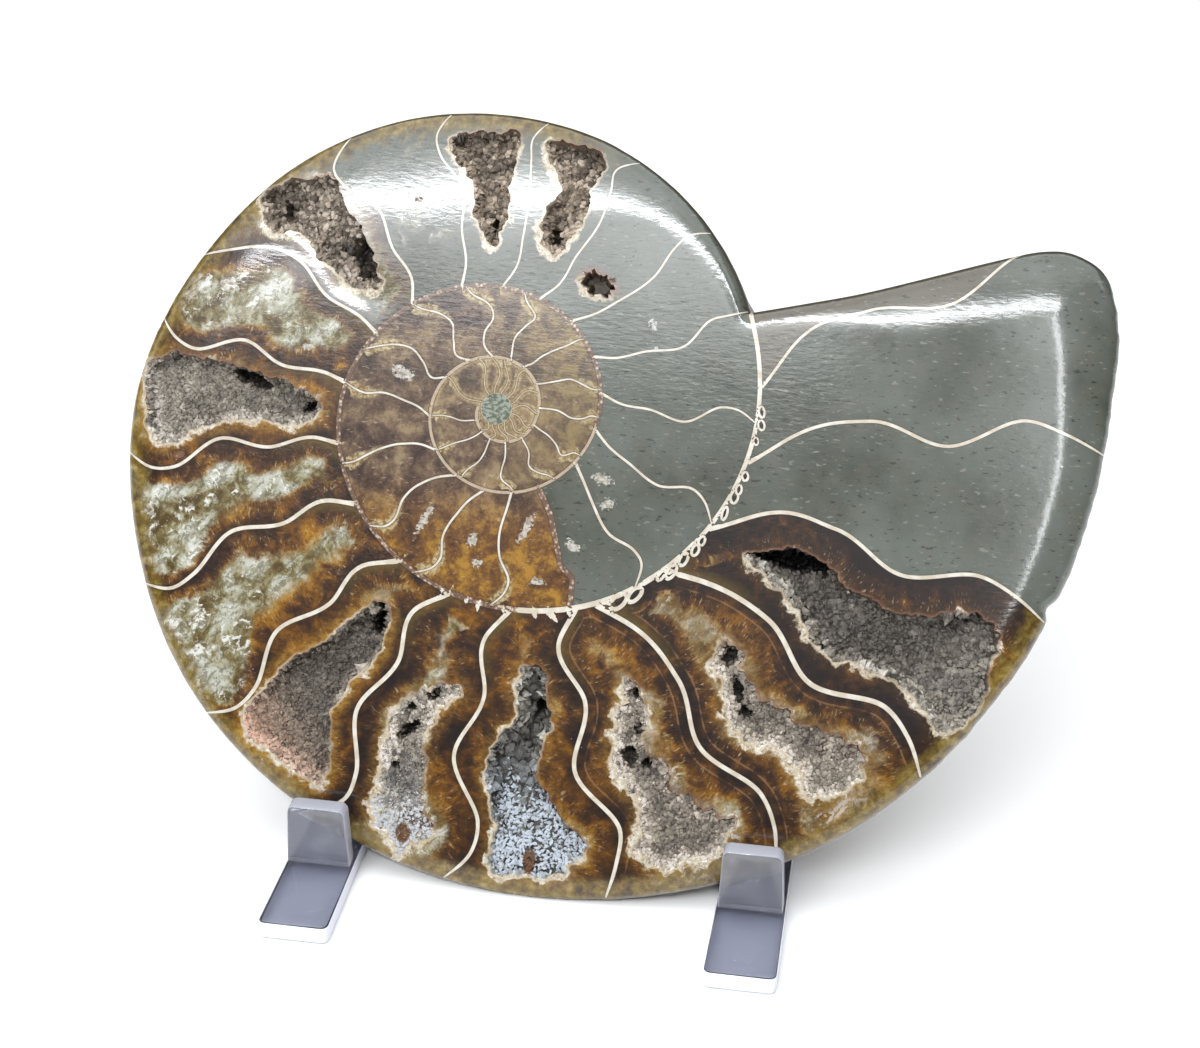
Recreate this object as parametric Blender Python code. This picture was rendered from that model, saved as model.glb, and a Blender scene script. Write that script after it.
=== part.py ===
"""Half of a polished ammonite, leaning on a clear acrylic easel.

Run with: blender --background --python part.py
Metres, +Z up. The object faces -Y and stands on Z = 0, with the origin under the middle of its box.

The fossil is drawn in its own face frame, in millimetres: u to the right and v up on the polished face,
w into the shell's back. The spiral grows anticlockwise about the middle of the coil, and phi is the growth
angle in degrees: one turn is 360, and phi is the bearing of the last whorl.
"""

import math

import bmesh
import bpy
import numpy as np
from mathutils import Matrix, Vector, geometry

MM = 0.001
GAP = 0.3  # kept between pieces that touch

# Fossil: how it stands
LEAN = math.radians(26.0)  # the polished face leans back this far from upright
TURN = math.radians(-0.6)  # clockwise in its own plane, so that both feet carry it
COIL_MIDDLE = (-17.9, 8.4, 71.0)  # the middle of the coil on the polished face
UNDERSIDE_Z = 0.3  # worn level between the feet

# Fossil: radii of the spiral wall, every 45 degrees of growth in the inner whorls and 22.5 in the last
INNER_RADII = (
    *(6.8, 7.7, 8.2, 9.1, 10.6, 12.0, 13.2, 14.7),
    *(16.6, 18.1, 19.4, 21.8, 25.5, 28.0, 31.4, 36.6),
)
LAST_RADII = (
    *(41.7, 43.2, 44.5, 45.8, 47.1, 49.4, 52.3, 55.7),
    *(60.6, 64.5, 69.2, 73.1, 77.6, 82.3, 87.9, 92.5, 96.3, 99.4),
)
WALL_PHIS = np.concatenate([np.arange(-720.0, 0.0, 45.0), np.arange(len(LAST_RADII)) * 22.5])
NOTCH_PHI = 24.3  # where the last whorl's outside wall leaves the whorl before
SHELL_END_PHI = 364.0  # from here the outline is a break, not shell
BREAK_EDGE = (  # bearing and radius along the broken end, back to the notch
    *((369.0, 98.4), (373.4, 98.8), (376.3, 97.6), (378.5, 94.2)),
    *((379.6, 90.0), (380.1, 83.0), (381.0, 62.5), (382.4, 52.0)),
)
OUTLINE_STEP = 3.4

# Fossil: the polished face, which rolls over towards the rim
ROLL_WIDTH = 11.0
ROLL_DROP = 0.9
EDGE_RADIUS = 1.6
FACE_RINGS = (0.45, 1.6, 4.5, 11.0)

# Fossil: the shell's back
RIM_DEPTH = 5.0
FLANK_HEIGHT = 0.165  # of the whorl's radius
UMBILICAL_SEAM = 0.18  # all three are shares of the whorl's radius
FLANK_CREST = 0.40
UMBILICUS_RINGS = ((0.0, 1), (2.5, 12), (5.5, 24))
FLANK_RINGS = (0.14, 0.18, 0.22, 0.28, 0.38, 0.50, 0.60, 0.70, 0.79, 0.87, 0.935, 0.975)
FLANK_COLUMNS = 144
BREAK_BLEND = 4.0  # degrees over which the last whorl's broken end steps down
RIBS_PER_TURN = 36
RIB_HEIGHT = 0.4
RIB_START = 0.5
RIB_SWEEP = 7.0

# Hollows: (u, v) round the mouth, and depth
HOLLOWS = {
    "upper_left": (
        5.0,
        ((-41.0, 32.0), (-37.5, 34.5), (-30.0, 35.0), (-27.5, 31.5), (-23.5, 28.0), (-22.5, 23.5)),
        ((-20.5, 18.0), (-25.0, 18.5), (-30.0, 22.0), (-34.0, 26.5), (-38.5, 26.5), (-41.0, 28.5)),
    ),
    "left": (
        5.0,
        ((-58.0, 4.5), (-47.5, 5.0), (-39.5, 3.0), (-33.5, 1.5), (-29.0, -1.5), (-33.0, -4.5)),
        ((-42.5, -4.5), (-48.5, -6.5), (-54.5, -9.5), (-58.0, -7.0), (-58.5, -1.0)),
    ),
    "top_left": (
        4.2,
        ((-10.0, 43.5), (-1.0, 44.5), (0.5, 42.0), (0.0, 34.0), (-1.0, 28.5)),
        ((-2.0, 26.0), (-4.5, 28.5), (-6.5, 35.5), (-9.5, 39.5)),
    ),
    "top_right": (
        4.2,
        ((5.0, 42.5), (8.0, 43.0), (14.5, 41.0), (13.5, 36.5), (11.5, 30.5)),
        ((8.5, 25.0), (6.0, 26.5), (5.5, 31.0), (7.5, 36.0)),
    ),
    "lower_left": (
        6.0,
        ((-39.0, -53.5), (-35.0, -48.0), (-32.0, -43.5), (-26.0, -39.5), (-23.0, -36.5)),
        ((-18.0, -33.0), (-15.5, -33.0), (-15.5, -36.5), (-17.0, -41.5), (-22.0, -47.0)),
        ((-24.0, -52.0), (-23.5, -59.5), (-26.0, -62.5), (-34.5, -58.0)),
    ),
    "bottom_left": (
        2.8,
        ((-5.5, -44.5), (-3.5, -46.5), (-6.5, -50.0), (-8.0, -54.0), (-8.5, -61.0), (-6.5, -67.0)),
        ((-7.5, -71.5), (-12.0, -71.5), (-15.5, -69.5), (-15.5, -60.0), (-15.0, -53.5), (-11.0, -48.5)),
    ),
    "bottom": (
        5.0,
        ((7.5, -41.0), (10.0, -41.5), (11.5, -45.0), (12.0, -51.0), (10.5, -56.0), (12.0, -60.5)),
        ((16.0, -66.0), (19.5, -69.0), (16.5, -72.5), (14.5, -74.5), (7.0, -75.0), (3.5, -74.0)),
        ((4.0, -68.0), (2.5, -58.5), (3.0, -55.0), (6.0, -49.5), (6.5, -44.5)),
    ),
    "lower_middle": (
        3.2,
        ((24.0, -42.0), (26.5, -43.5), (27.5, -47.0), (28.5, -52.5), (31.5, -56.0), (37.0, -60.5)),
        ((42.0, -63.0), (42.0, -66.5), (38.5, -69.5), (31.0, -71.0), (27.5, -68.5), (27.5, -61.5)),
        ((24.5, -57.5), (22.5, -52.5), (23.0, -47.5)),
    ),
    "lower_right": (
        3.6,
        ((38.0, -34.5), (41.0, -35.5), (43.0, -39.5), (46.0, -42.5), (52.0, -46.5), (60.0, -48.5)),
        ((63.0, -50.5), (63.0, -53.5), (60.5, -56.0), (58.0, -58.0), (55.0, -58.0), (52.0, -55.0)),
        ((48.5, -51.0), (42.0, -49.5), (39.5, -44.0)),
    ),
    "right": (
        6.5,
        ((41.0, -20.5), (49.5, -19.0), (54.5, -21.0), (57.0, -24.0), (62.5, -26.5), (69.5, -28.0)),
        ((77.5, -26.5), (81.5, -29.5), (81.0, -35.0), (80.0, -41.0), (74.5, -46.0), (70.5, -42.0)),
        ((65.5, -38.0), (59.5, -36.5), (54.0, -34.5), (50.0, -28.0), (45.0, -23.5)),
    ),
}
SMALL_PIT = (2.5, ((11.5, 22.5), (15.0, 23.5), (18.0, 20.5), (16.5, 18.5), (13.0, 19.5)))
HOLLOW_WALL_SLOPE = 0.7  # how far a floor's edge lies inside the mouth

# Crusts of crystals on the hollows' floors
CRUST_INSET = 0.9  # of the crust's edge inside the floor's edge
CRUST_THICKNESS = 0.8
CRYSTAL_RISE = (0.05, 0.38)  # of the hollow's depth
CRYSTAL_SPACING = 2.4
SEED = 7

# Easel: flat acrylic strip and sheet
SHEET = 3.0
LIP_BACK_Y = -23.2
LIP_HEIGHT = 11.3
FOOT_MIDDLES = {"left": -41.1, "right": 29.2}
FOOT_REACH = 15.6  # of the tip in front of the lip
FOOT_REAR_Y = 16.0
FOOT_TIP_WIDTH = 11.4
FOOT_WIDTH = 10.4
LIP_TOP_WIDTH = 9.4
FOOT_CORNER = 1.2
PANEL_OFFSET = 21.0  # of its front from the polished face, square to it
PANEL_HALF_WIDTH = 40.4
PANEL_TOP_HALF_WIDTH = 30.0
PANEL_HEIGHT = 64.0
PANEL_CORNER = 6.0
LEG_WIDTH = 34.0
LEG_TOP_Z = 50.0
LEG_FOOT_Y = 41.8

COLOURS = {
    "fossil": ((0.34, 0.22, 0.11, 1.0), 0.25),
    "crust": ((0.42, 0.40, 0.36, 1.0), 0.8),
    "acrylic": ((0.93, 0.93, 0.98, 1.0), 0.05),
}


def clear_scene():
    for item in list(bpy.data.objects):
        bpy.data.objects.remove(item, do_unlink=True)


def material(name):
    colour, roughness = COLOURS[name]
    made = bpy.data.materials.new(name)
    made.use_nodes = True
    shader = made.node_tree.nodes["Principled BSDF"]
    shader.inputs["Base Color"].default_value = colour
    shader.inputs["Roughness"].default_value = roughness
    shader.inputs["Metallic"].default_value = 0.0
    if name == "acrylic":
        shader.inputs["Transmission Weight"].default_value = 1.0
        shader.inputs["IOR"].default_value = 1.49
    return made


def add_object(name, points, faces, look):
    """An object from points in millimetres."""
    mesh = bpy.data.meshes.new(name)
    mesh.from_pydata([[c * MM for c in point] for point in points], [], faces)
    mesh.update()
    work = bmesh.new()
    work.from_mesh(mesh)
    bmesh.ops.recalc_face_normals(work, faces=work.faces)
    work.to_mesh(mesh)
    work.free()
    mesh.materials.append(look)
    bpy.context.scene.collection.objects.link(bpy.data.objects.new(name, mesh))


# ---------------------------------------------------------------- the spiral


def wall_radius(phi):
    """Radius of the spiral wall at growth angle phi, smooth between the measured radii."""
    logs = np.log(np.array(INNER_RADII + LAST_RADII))
    slopes = np.gradient(logs, WALL_PHIS)
    low = np.clip(np.searchsorted(WALL_PHIS, phi, side="right") - 1, 0, len(logs) - 2)
    width = WALL_PHIS[low + 1] - WALL_PHIS[low]
    f = (phi - WALL_PHIS[low]) / width
    rise = slopes[low] * f * (1 - f) ** 2 - slopes[low + 1] * f**2 * (1 - f)
    share = f**2 * (3 - 2 * f)
    return np.exp(logs[low] * (1 - share) + logs[low + 1] * share + rise * width)


def from_polar(bearing, radius):
    turn = np.radians(bearing)
    return np.stack([radius * np.cos(turn), radius * np.sin(turn)], axis=-1)


def catmull_rom(points, steps):
    """Points along a smooth curve through all but the first and last of the points given."""
    curve = []
    for a, b, c, d in zip(points, points[1:], points[2:], points[3:]):
        for f in np.arange(steps) / steps:
            curve.append(
                0.5 * (2 * b + (c - a) * f + (2 * a - 5 * b + 4 * c - d) * f**2 + (3 * b - a - 3 * c + d) * f**3)
            )
    return np.array(curve)


def spaced(curve, step):
    """The same curve with points at even distances, both ends kept."""
    lengths = np.hypot(*np.diff(curve, axis=0).T)
    along = np.concatenate([[0], np.cumsum(lengths)])
    even = np.linspace(0, along[-1], max(2, round(along[-1] / step) + 1))
    return np.stack([np.interp(even, along, curve[:, axis]) for axis in (0, 1)], axis=1)


def outline_points():
    """The fossil's outline, anticlockwise from the notch."""
    shell_phi = np.arange(NOTCH_PHI, SHELL_END_PHI, 0.5)
    shell = from_polar(shell_phi, wall_radius(shell_phi))
    edge = [from_polar(*pair) for pair in BREAK_EDGE]
    guides = [shell[-8], shell[-1], *edge, shell[0], shell[0]]
    broken = catmull_rom(guides, 12)
    return np.concatenate([spaced(shell, OUTLINE_STEP)[:-1], spaced(broken, OUTLINE_STEP)[:-1]])


def distance_to_loop(points, loop):
    """Shortest distance from each point to a closed loop."""
    start, end = loop, np.roll(loop, -1, axis=0)
    run = end - start
    offset = points[:, None, :] - start[None, :, :]
    share = np.clip((offset * run).sum(-1) / (run * run).sum(-1), 0, 1)
    return np.sqrt(((offset - share[..., None] * run) ** 2).sum(-1)).min(axis=1)


def inside_loop(points, loop):
    x, y = points[:, :1], points[:, 1:]
    (x0, y0), (x1, y1) = loop.T, np.roll(loop, -1, axis=0).T
    crosses = (y0 > y) != (y1 > y)
    with np.errstate(divide="ignore", invalid="ignore"):
        at = x0 + (y - y0) / (y1 - y0) * (x1 - x0)
    return (crosses & (x < at)).sum(axis=1) % 2 == 1


def inset(loop, distance):
    """A closed anticlockwise loop moved inwards."""
    run = np.roll(loop, -1, axis=0) - loop
    normal = np.stack([-run[:, 1], run[:, 0]], axis=1) / np.hypot(*run.T)[:, None]
    before = np.roll(normal, 1, axis=0)
    bisector = normal + before
    bisector /= np.hypot(*bisector.T)[:, None]
    mitre = np.clip((bisector * normal).sum(axis=1), 0.55, 1)
    return loop + bisector * (distance / mitre)[:, None]


def shrunk(mouth, distance):
    """A hollow's mouth moved inwards, without the points that a narrow end would bring too close."""
    loop = inset(mouth, distance)
    loop = loop[inside_loop(loop, mouth) & (distance_to_loop(loop, mouth) > 0.9 * distance)]
    return thin_out(loop, 0.6)


def anticlockwise(loop):
    x, y = loop.T
    area = (x * np.roll(y, -1) - np.roll(x, -1) * y).sum()
    return loop if area > 0 else loop[::-1]


# ---------------------------------------------------------------- the fossil


def face_depth(distance):
    """How far the polished face has dropped at a distance from the rim."""
    roll = ROLL_DROP * np.clip(1 - distance / ROLL_WIDTH, 0, 1) ** 2
    near = np.clip(1 - distance / EDGE_RADIUS, 0, 1)
    return roll + EDGE_RADIUS * (1 - np.sqrt(1 - near**2))


def flank(phi, radius):
    """Height of one whorl's flank over the rim, at a growth angle and a radius."""
    whorl = wall_radius(phi)
    share = radius / whorl
    outer = np.clip((share - FLANK_CREST) / (1 - FLANK_CREST), 0, 1)
    inner = np.clip((FLANK_CREST - share) / (FLANK_CREST - UMBILICAL_SEAM), 0, 1)
    shape = (1 - outer**2.4) ** 0.55 * (1 - inner**2.5)
    sweep = RIB_SWEEP * np.sin(2 * np.pi * (share - RIB_START))
    ribs = np.cos(np.radians(RIBS_PER_TURN * (phi + sweep)))
    strength = np.clip((share - RIB_START) / 0.2, 0, 1) * np.clip((1 - share) / 0.08, 0, 1)
    return FLANK_HEIGHT * whorl * shape + RIB_HEIGHT * (whorl / 100) * strength * ribs


def back_depth(points):
    """Depth of the shell's back: each whorl overlaps the one before it."""
    radius = np.hypot(*points.T)
    bearing = np.degrees(np.arctan2(points[:, 1], points[:, 0]))
    last = np.where(bearing < NOTCH_PHI, bearing + 360, bearing)
    inner = np.maximum(flank(last - 360, radius), flank(last - 720, radius))
    inner = np.maximum(inner, 0.12 * np.clip(8 - radius, 0, 8))
    height = np.maximum(flank(last, radius), inner)
    past_break = np.clip((last - NOTCH_PHI) / BREAK_BLEND, 0, 1)
    whorl_end = np.maximum(flank(last + 360 * (past_break < 1), radius), inner)
    ease = past_break**2 * (3 - 2 * past_break)
    return RIM_DEPTH + np.where(past_break < 1, whorl_end * (1 - ease) + height * ease, height)


def triangulate(points, loops):
    """Triangles over the points, inside the first loop; every loop's sides are kept as edges."""
    edges = []
    for loop in loops:
        edges += list(zip(loop, loop[1:] + loop[:1]))
    result = geometry.delaunay_2d_cdt([Vector(p) for p in points.tolist()], edges, [], 0, 1e-5)
    made, faces = np.array([tuple(p) for p in result[0]]), np.array(result[2])
    if len(made) != len(points):
        raise ValueError("two loops of the fossil's face meet")
    boundary = made[loops[0]]
    centres = made[faces].mean(axis=1)
    return made, faces[inside_loop(centres, boundary)]


def thin_out(points, spacing):
    """The points, without those that lie too near one kept before."""
    kept = []
    for point in points:
        if all(math.dist(point, other) > spacing for other in kept):
            kept.append(point)
    return np.array(kept)


def face_layout(outline):
    """Points of the polished face with their depths, and the loops that its triangles follow."""
    parts, depths, loops, count = [outline], [face_depth(np.zeros(len(outline)))], [], len(outline)
    loops.append(list(range(count)))
    mouths = []
    for depth, *runs in [*HOLLOWS.values(), SMALL_PIT]:
        mouth = anticlockwise(np.array([point for run in runs for point in run]))
        mouths.append(mouth)
        floor = shrunk(mouth, HOLLOW_WALL_SLOPE)
        for loop, level in (
            (mouth, face_depth(distance_to_loop(mouth, outline))),
            (floor, np.full(len(floor), depth)),
        ):
            loops.append(list(range(count, count + len(loop))))
            parts.append(loop)
            depths.append(level)
            count += len(loop)
    for distance in FACE_RINGS:
        ring = inset(outline, distance)
        clear = distance_to_loop(ring, outline) > 0.97 * distance
        for mouth in mouths:
            clear &= ~inside_loop(ring, mouth) & (distance_to_loop(ring, mouth) > 0.8)
        ring = thin_out(ring[clear], 0.45 * OUTLINE_STEP)
        parts.append(ring)
        depths.append(face_depth(distance_to_loop(ring, outline)))
    return np.concatenate(parts), np.concatenate(depths), loops


def back_layout(outline):
    """Points of the shell's back, the outline's first."""
    parts = [outline]
    for radius, columns in UMBILICUS_RINGS:
        turns = np.arange(columns) * 360 / columns
        parts.append(from_polar(turns, np.full(columns, radius)))
    columns = NOTCH_PHI + 0.5 + np.arange(FLANK_COLUMNS) * 360 / FLANK_COLUMNS
    for share in FLANK_RINGS:
        ring = from_polar(columns, share * wall_radius(columns))
        clear = inside_loop(ring, outline) & (distance_to_loop(ring, outline) > 0.9)
        ring = ring[clear & (np.hypot(*ring.T) > 7.0)]
        parts.append(thin_out(ring, 1.0))
    return np.concatenate(parts)


def make_fossil(look):
    outline = outline_points()
    face_points, face_depths, loops = face_layout(outline)
    face_points, face_faces = triangulate(face_points, loops)
    back_points, back_faces = triangulate(back_layout(outline), [list(range(len(outline)))])
    back_depths = back_depth(back_points)
    vertices = [(u, w, v) for (u, v), w in zip(face_points, face_depths)]
    start = len(vertices)
    vertices += [(u, w, v) for (u, v), w in zip(back_points, back_depths)]
    faces = [tuple(int(i) for i in face) for face in face_faces]
    faces += [tuple(int(i) + start for i in reversed(face)) for face in back_faces]
    rim = len(outline)
    for here in range(rim):
        after = (here + 1) % rim
        faces.append((here, start + here, start + after, after))
    add_object("ammonite_half", worn_level(stood_up(vertices)), faces, look)


def stood_up(vertices):
    """From the face frame, with u along X, w along Y and v along Z, to where the fossil leans."""
    place = Matrix.Translation(COIL_MIDDLE) @ Matrix.Rotation(-LEAN, 4, "X") @ Matrix.Rotation(TURN, 4, "Y")
    return [place @ Vector(point) for point in vertices]


def worn_level(vertices):
    """Points that would hang below the worn underside, moved up along the face to it."""
    up = Vector((0, math.sin(LEAN), math.cos(LEAN)))
    return [point + up * (max(0.0, UNDERSIDE_Z - point.z) / up.z) for point in vertices]


# ---------------------------------------------------------------- the crusts


def make_crust(name, depth, mouth, look, rng):
    """A plate of pointed crystals that lies on a hollow's floor."""
    edge = shrunk(shrunk(mouth, HOLLOW_WALL_SLOPE), CRUST_INSET)
    low, high = edge.min(axis=0), edge.max(axis=0)
    grid = np.mgrid[low[0] : high[0] : CRYSTAL_SPACING, low[1] : high[1] : CRYSTAL_SPACING]
    grid = grid.reshape(2, -1).T + rng.uniform(-0.3, 0.3, (grid[0].size, 2)) * CRYSTAL_SPACING
    clear = inside_loop(grid, edge) & (distance_to_loop(grid, edge) > 0.3 * CRYSTAL_SPACING)
    points, faces = triangulate(np.concatenate([edge, grid[clear]]), [list(range(len(edge)))])
    bottom = depth - GAP
    rise = depth * rng.uniform(*CRYSTAL_RISE, len(points))
    top = bottom - CRUST_THICKNESS - np.where(np.arange(len(points)) < len(edge), 0, rise)
    vertices = [(u, w, v) for (u, v), w in zip(points, top)]
    start = len(vertices)
    vertices += [(u, bottom, v) for u, v in points]
    loops = [tuple(int(i) for i in face) for face in faces]
    loops += [tuple(int(i) + start for i in reversed(face)) for face in faces]
    for here in range(len(edge)):
        after = (here + 1) % len(edge)
        loops.append((here, start + here, start + after, after))
    add_object(name, stood_up(vertices), loops, look)


def make_crusts(look):
    rng = np.random.default_rng(SEED)
    for name, (depth, *runs) in HOLLOWS.items():
        mouth = anticlockwise(np.array([point for run in runs for point in run]))
        make_crust("crystal_crust_" + name, depth, mouth, look, rng)


# ---------------------------------------------------------------- the easel


def rounded_plate(corners, radii, steps=4):
    """A convex outline with its corners rounded; corners run anticlockwise."""
    corners = [Vector(corner) for corner in corners]
    outline = []
    for index, (corner, radius) in enumerate(zip(corners, radii)):
        if radius == 0:
            outline.append(tuple(corner))
            continue
        to_last = (corners[index - 1] - corner).normalized()
        to_next = (corners[(index + 1) % len(corners)] - corner).normalized()
        half = to_last.angle(to_next) / 2
        centre = corner + (to_last + to_next).normalized() * (radius / math.sin(half))
        first = corner + to_last * (radius / math.tan(half)) - centre
        last = corner + to_next * (radius / math.tan(half)) - centre
        sweep = math.atan2(first.cross(last), first.dot(last))
        for step in range(steps + 1):
            outline.append(tuple(centre + Matrix.Rotation(sweep * step / steps, 2) @ first))
    return outline


def extrude(name, outline, place, near, far, look):
    """A prism: place turns a point of the outline and a depth into a point of the object."""
    count = len(outline)
    vertices = [place(a, b, near) for a, b in outline] + [place(a, b, far) for a, b in outline]
    faces = [tuple(range(count)), tuple(reversed(range(count, 2 * count)))]
    for here in range(count):
        after = (here + 1) % count
        faces.append((after, here, here + count, after + count))
    add_object(name, vertices, faces, look)


def make_foot(side, look):
    """A flat strip on the table, which reaches out in front of the lip."""
    middle = FOOT_MIDDLES[side]
    tip, half, tip_half = LIP_BACK_Y - SHEET - FOOT_REACH, FOOT_WIDTH / 2, FOOT_TIP_WIDTH / 2
    corners = [
        (middle - tip_half, tip),
        (middle + tip_half, tip),
        (middle + half, LIP_BACK_Y),
        (middle + half, FOOT_REAR_Y),
        (middle - half, FOOT_REAR_Y),
        (middle - half, LIP_BACK_Y),
    ]
    outline = rounded_plate(corners, (FOOT_CORNER, FOOT_CORNER, 0, 0, 0, 0))
    extrude(f"foot_{side}", outline, lambda x, y, z: (x, y, z), 0.0, SHEET, look)


def make_lip(side, look):
    """The upright tab that keeps the fossil from sliding forward."""
    middle, half, top_half = FOOT_MIDDLES[side], FOOT_WIDTH / 2, LIP_TOP_WIDTH / 2
    low, high = SHEET + GAP, SHEET + LIP_HEIGHT
    corners = [
        (middle - half, low),
        (middle + half, low),
        (middle + top_half, high),
        (middle - top_half, high),
    ]
    outline = rounded_plate(corners, (0, 0, FOOT_CORNER, FOOT_CORNER))
    extrude(f"lip_{side}", outline, lambda x, z, y: (x, y, z), LIP_BACK_Y - SHEET, LIP_BACK_Y, look)


def panel_point(x, up, depth):
    """A point of the leaning panel: up along its front from the table, depth square to it."""
    face_y = COIL_MIDDLE[1] - COIL_MIDDLE[2] * math.tan(LEAN)
    base_y = face_y + PANEL_OFFSET / math.cos(LEAN)
    y = base_y + up * math.sin(LEAN) + depth * math.cos(LEAN)
    z = up * math.cos(LEAN) - depth * math.sin(LEAN)
    return (x, y, z)


def make_panel(look):
    """The leaning back rest. Its lower edge is cut level, to stand on the two feet."""
    middle = sum(FOOT_MIDDLES.values()) / 2
    low = (SHEET + GAP) / math.cos(LEAN)
    corners = [
        (middle - PANEL_HALF_WIDTH, low),
        (middle + PANEL_HALF_WIDTH, low),
        (middle + PANEL_TOP_HALF_WIDTH, PANEL_HEIGHT),
        (middle - PANEL_TOP_HALF_WIDTH, PANEL_HEIGHT),
    ]
    outline = rounded_plate(corners, (0, 0, PANEL_CORNER, PANEL_CORNER))

    def place(x, up, depth):
        level = up + depth * math.tan(LEAN) if up <= low + 1e-6 else up
        return panel_point(x, level, depth)

    extrude("back_panel", outline, place, 0.0, SHEET, look)


def make_leg(look):
    """The rear leg: a plate from the panel's back down to the table."""
    middle = sum(FOOT_MIDDLES.values()) / 2
    behind = SHEET + GAP
    top = panel_point(0, LEG_TOP_Z / math.cos(LEAN), behind)[1:]
    lower = panel_point(0, (LEG_TOP_Z - 4.0) / math.cos(LEAN), behind)[1:]
    slope = Vector((LEG_FOOT_Y - top[0], -top[1])).normalized()
    across = SHEET / -slope.y
    profile = [
        (LEG_FOOT_Y - across, 0.0),
        (LEG_FOOT_Y, 0.0),
        (top[0] + 0.4, top[1] + 0.2),
        tuple(top),
        tuple(lower),
    ]
    half = LEG_WIDTH / 2
    extrude("rear_leg", profile, lambda y, z, x: (x, y, z), middle - half, middle + half, look)


def main():
    clear_scene()
    looks = {name: material(name) for name in COLOURS}
    make_fossil(looks["fossil"])
    make_crusts(looks["crust"])
    for side in FOOT_MIDDLES:
        make_foot(side, looks["acrylic"])
        make_lip(side, looks["acrylic"])
    make_panel(looks["acrylic"])
    make_leg(looks["acrylic"])


main()
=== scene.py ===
"""Looks of a polished ammonite half on a clear acrylic easel.

The fossil is drawn in its face frame, in millimetres: u to the right and v up on the polished face, w into
the shell's back. The spiral grows anticlockwise about the middle of the coil. phi is the growth angle in
degrees, and share runs from 0 at a whorl's inner wall to 1 at its outer wall.
"""

import math

import bmesh
import bpy
import numpy as np
from mathutils import Matrix, Vector, geometry, kdtree


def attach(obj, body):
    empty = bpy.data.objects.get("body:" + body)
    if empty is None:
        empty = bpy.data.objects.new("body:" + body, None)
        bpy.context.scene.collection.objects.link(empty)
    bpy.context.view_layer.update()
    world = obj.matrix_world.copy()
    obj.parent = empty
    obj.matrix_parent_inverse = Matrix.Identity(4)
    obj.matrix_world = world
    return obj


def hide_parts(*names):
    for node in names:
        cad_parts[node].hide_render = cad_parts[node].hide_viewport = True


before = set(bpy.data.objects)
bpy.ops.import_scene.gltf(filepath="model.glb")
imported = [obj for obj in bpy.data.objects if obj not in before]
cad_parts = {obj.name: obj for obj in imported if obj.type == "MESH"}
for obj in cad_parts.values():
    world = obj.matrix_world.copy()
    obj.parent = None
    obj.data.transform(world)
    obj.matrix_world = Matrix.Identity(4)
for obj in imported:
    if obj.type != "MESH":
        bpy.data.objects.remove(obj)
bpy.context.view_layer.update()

MM = 0.001
SEED = 11

# How the fossil stands, as in the solids
LEAN = math.radians(26.0)
TURN = math.radians(-0.6)
COIL_MIDDLE = (-17.9, 8.4, 71.0)
UNDERSIDE_Z = 0.3

# The spiral wall, as in the solids
INNER_RADII = (
    *(3.0, 3.9, 5.0, 6.1),
    *(6.8, 7.7, 8.2, 9.1, 10.6, 12.0, 13.2, 14.7),
    *(16.6, 18.1, 19.4, 21.8, 25.5, 28.0, 31.4, 36.6),
)
LAST_RADII = (
    *(41.7, 43.2, 44.5, 45.8, 47.1, 49.4, 52.3, 55.7),
    *(60.6, 64.5, 69.2, 73.1, 77.6, 82.3, 87.9, 92.5, 96.3, 99.4),
)
WALL_START = -900.0
WALL_PHIS = np.concatenate([np.arange(WALL_START, 0.0, 45.0), np.arange(len(LAST_RADII)) * 22.5])
NOTCH_PHI = 24.3
SHELL_END_PHI = 364.0
BREAK_EDGE = (
    *((369.0, 98.4), (373.4, 98.8), (376.3, 97.6), (378.5, 94.2)),
    *((379.6, 90.0), (380.1, 83.0), (381.0, 62.5), (382.4, 52.0)),
)

EDGE_ROUGHNESS = (0.12, 0.5)  # how far the edge wanders inwards: everywhere, and more at the broken end
CHIPS = ((89.8, -25.8, 1.5, 1.0), (98.0, 3.0, 1.2, 0.4), (-51.0, 34.0, 1.5, 0.3))  # u, v, radius, depth

# How wide a septum is along its way out, as a share of its half width
SEPTUM_TAPER = ((0, 0.05, 0.2, 0.75, 0.93, 1), (1.5, 1.1, 1, 1, 0.8, 0.4))
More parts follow.
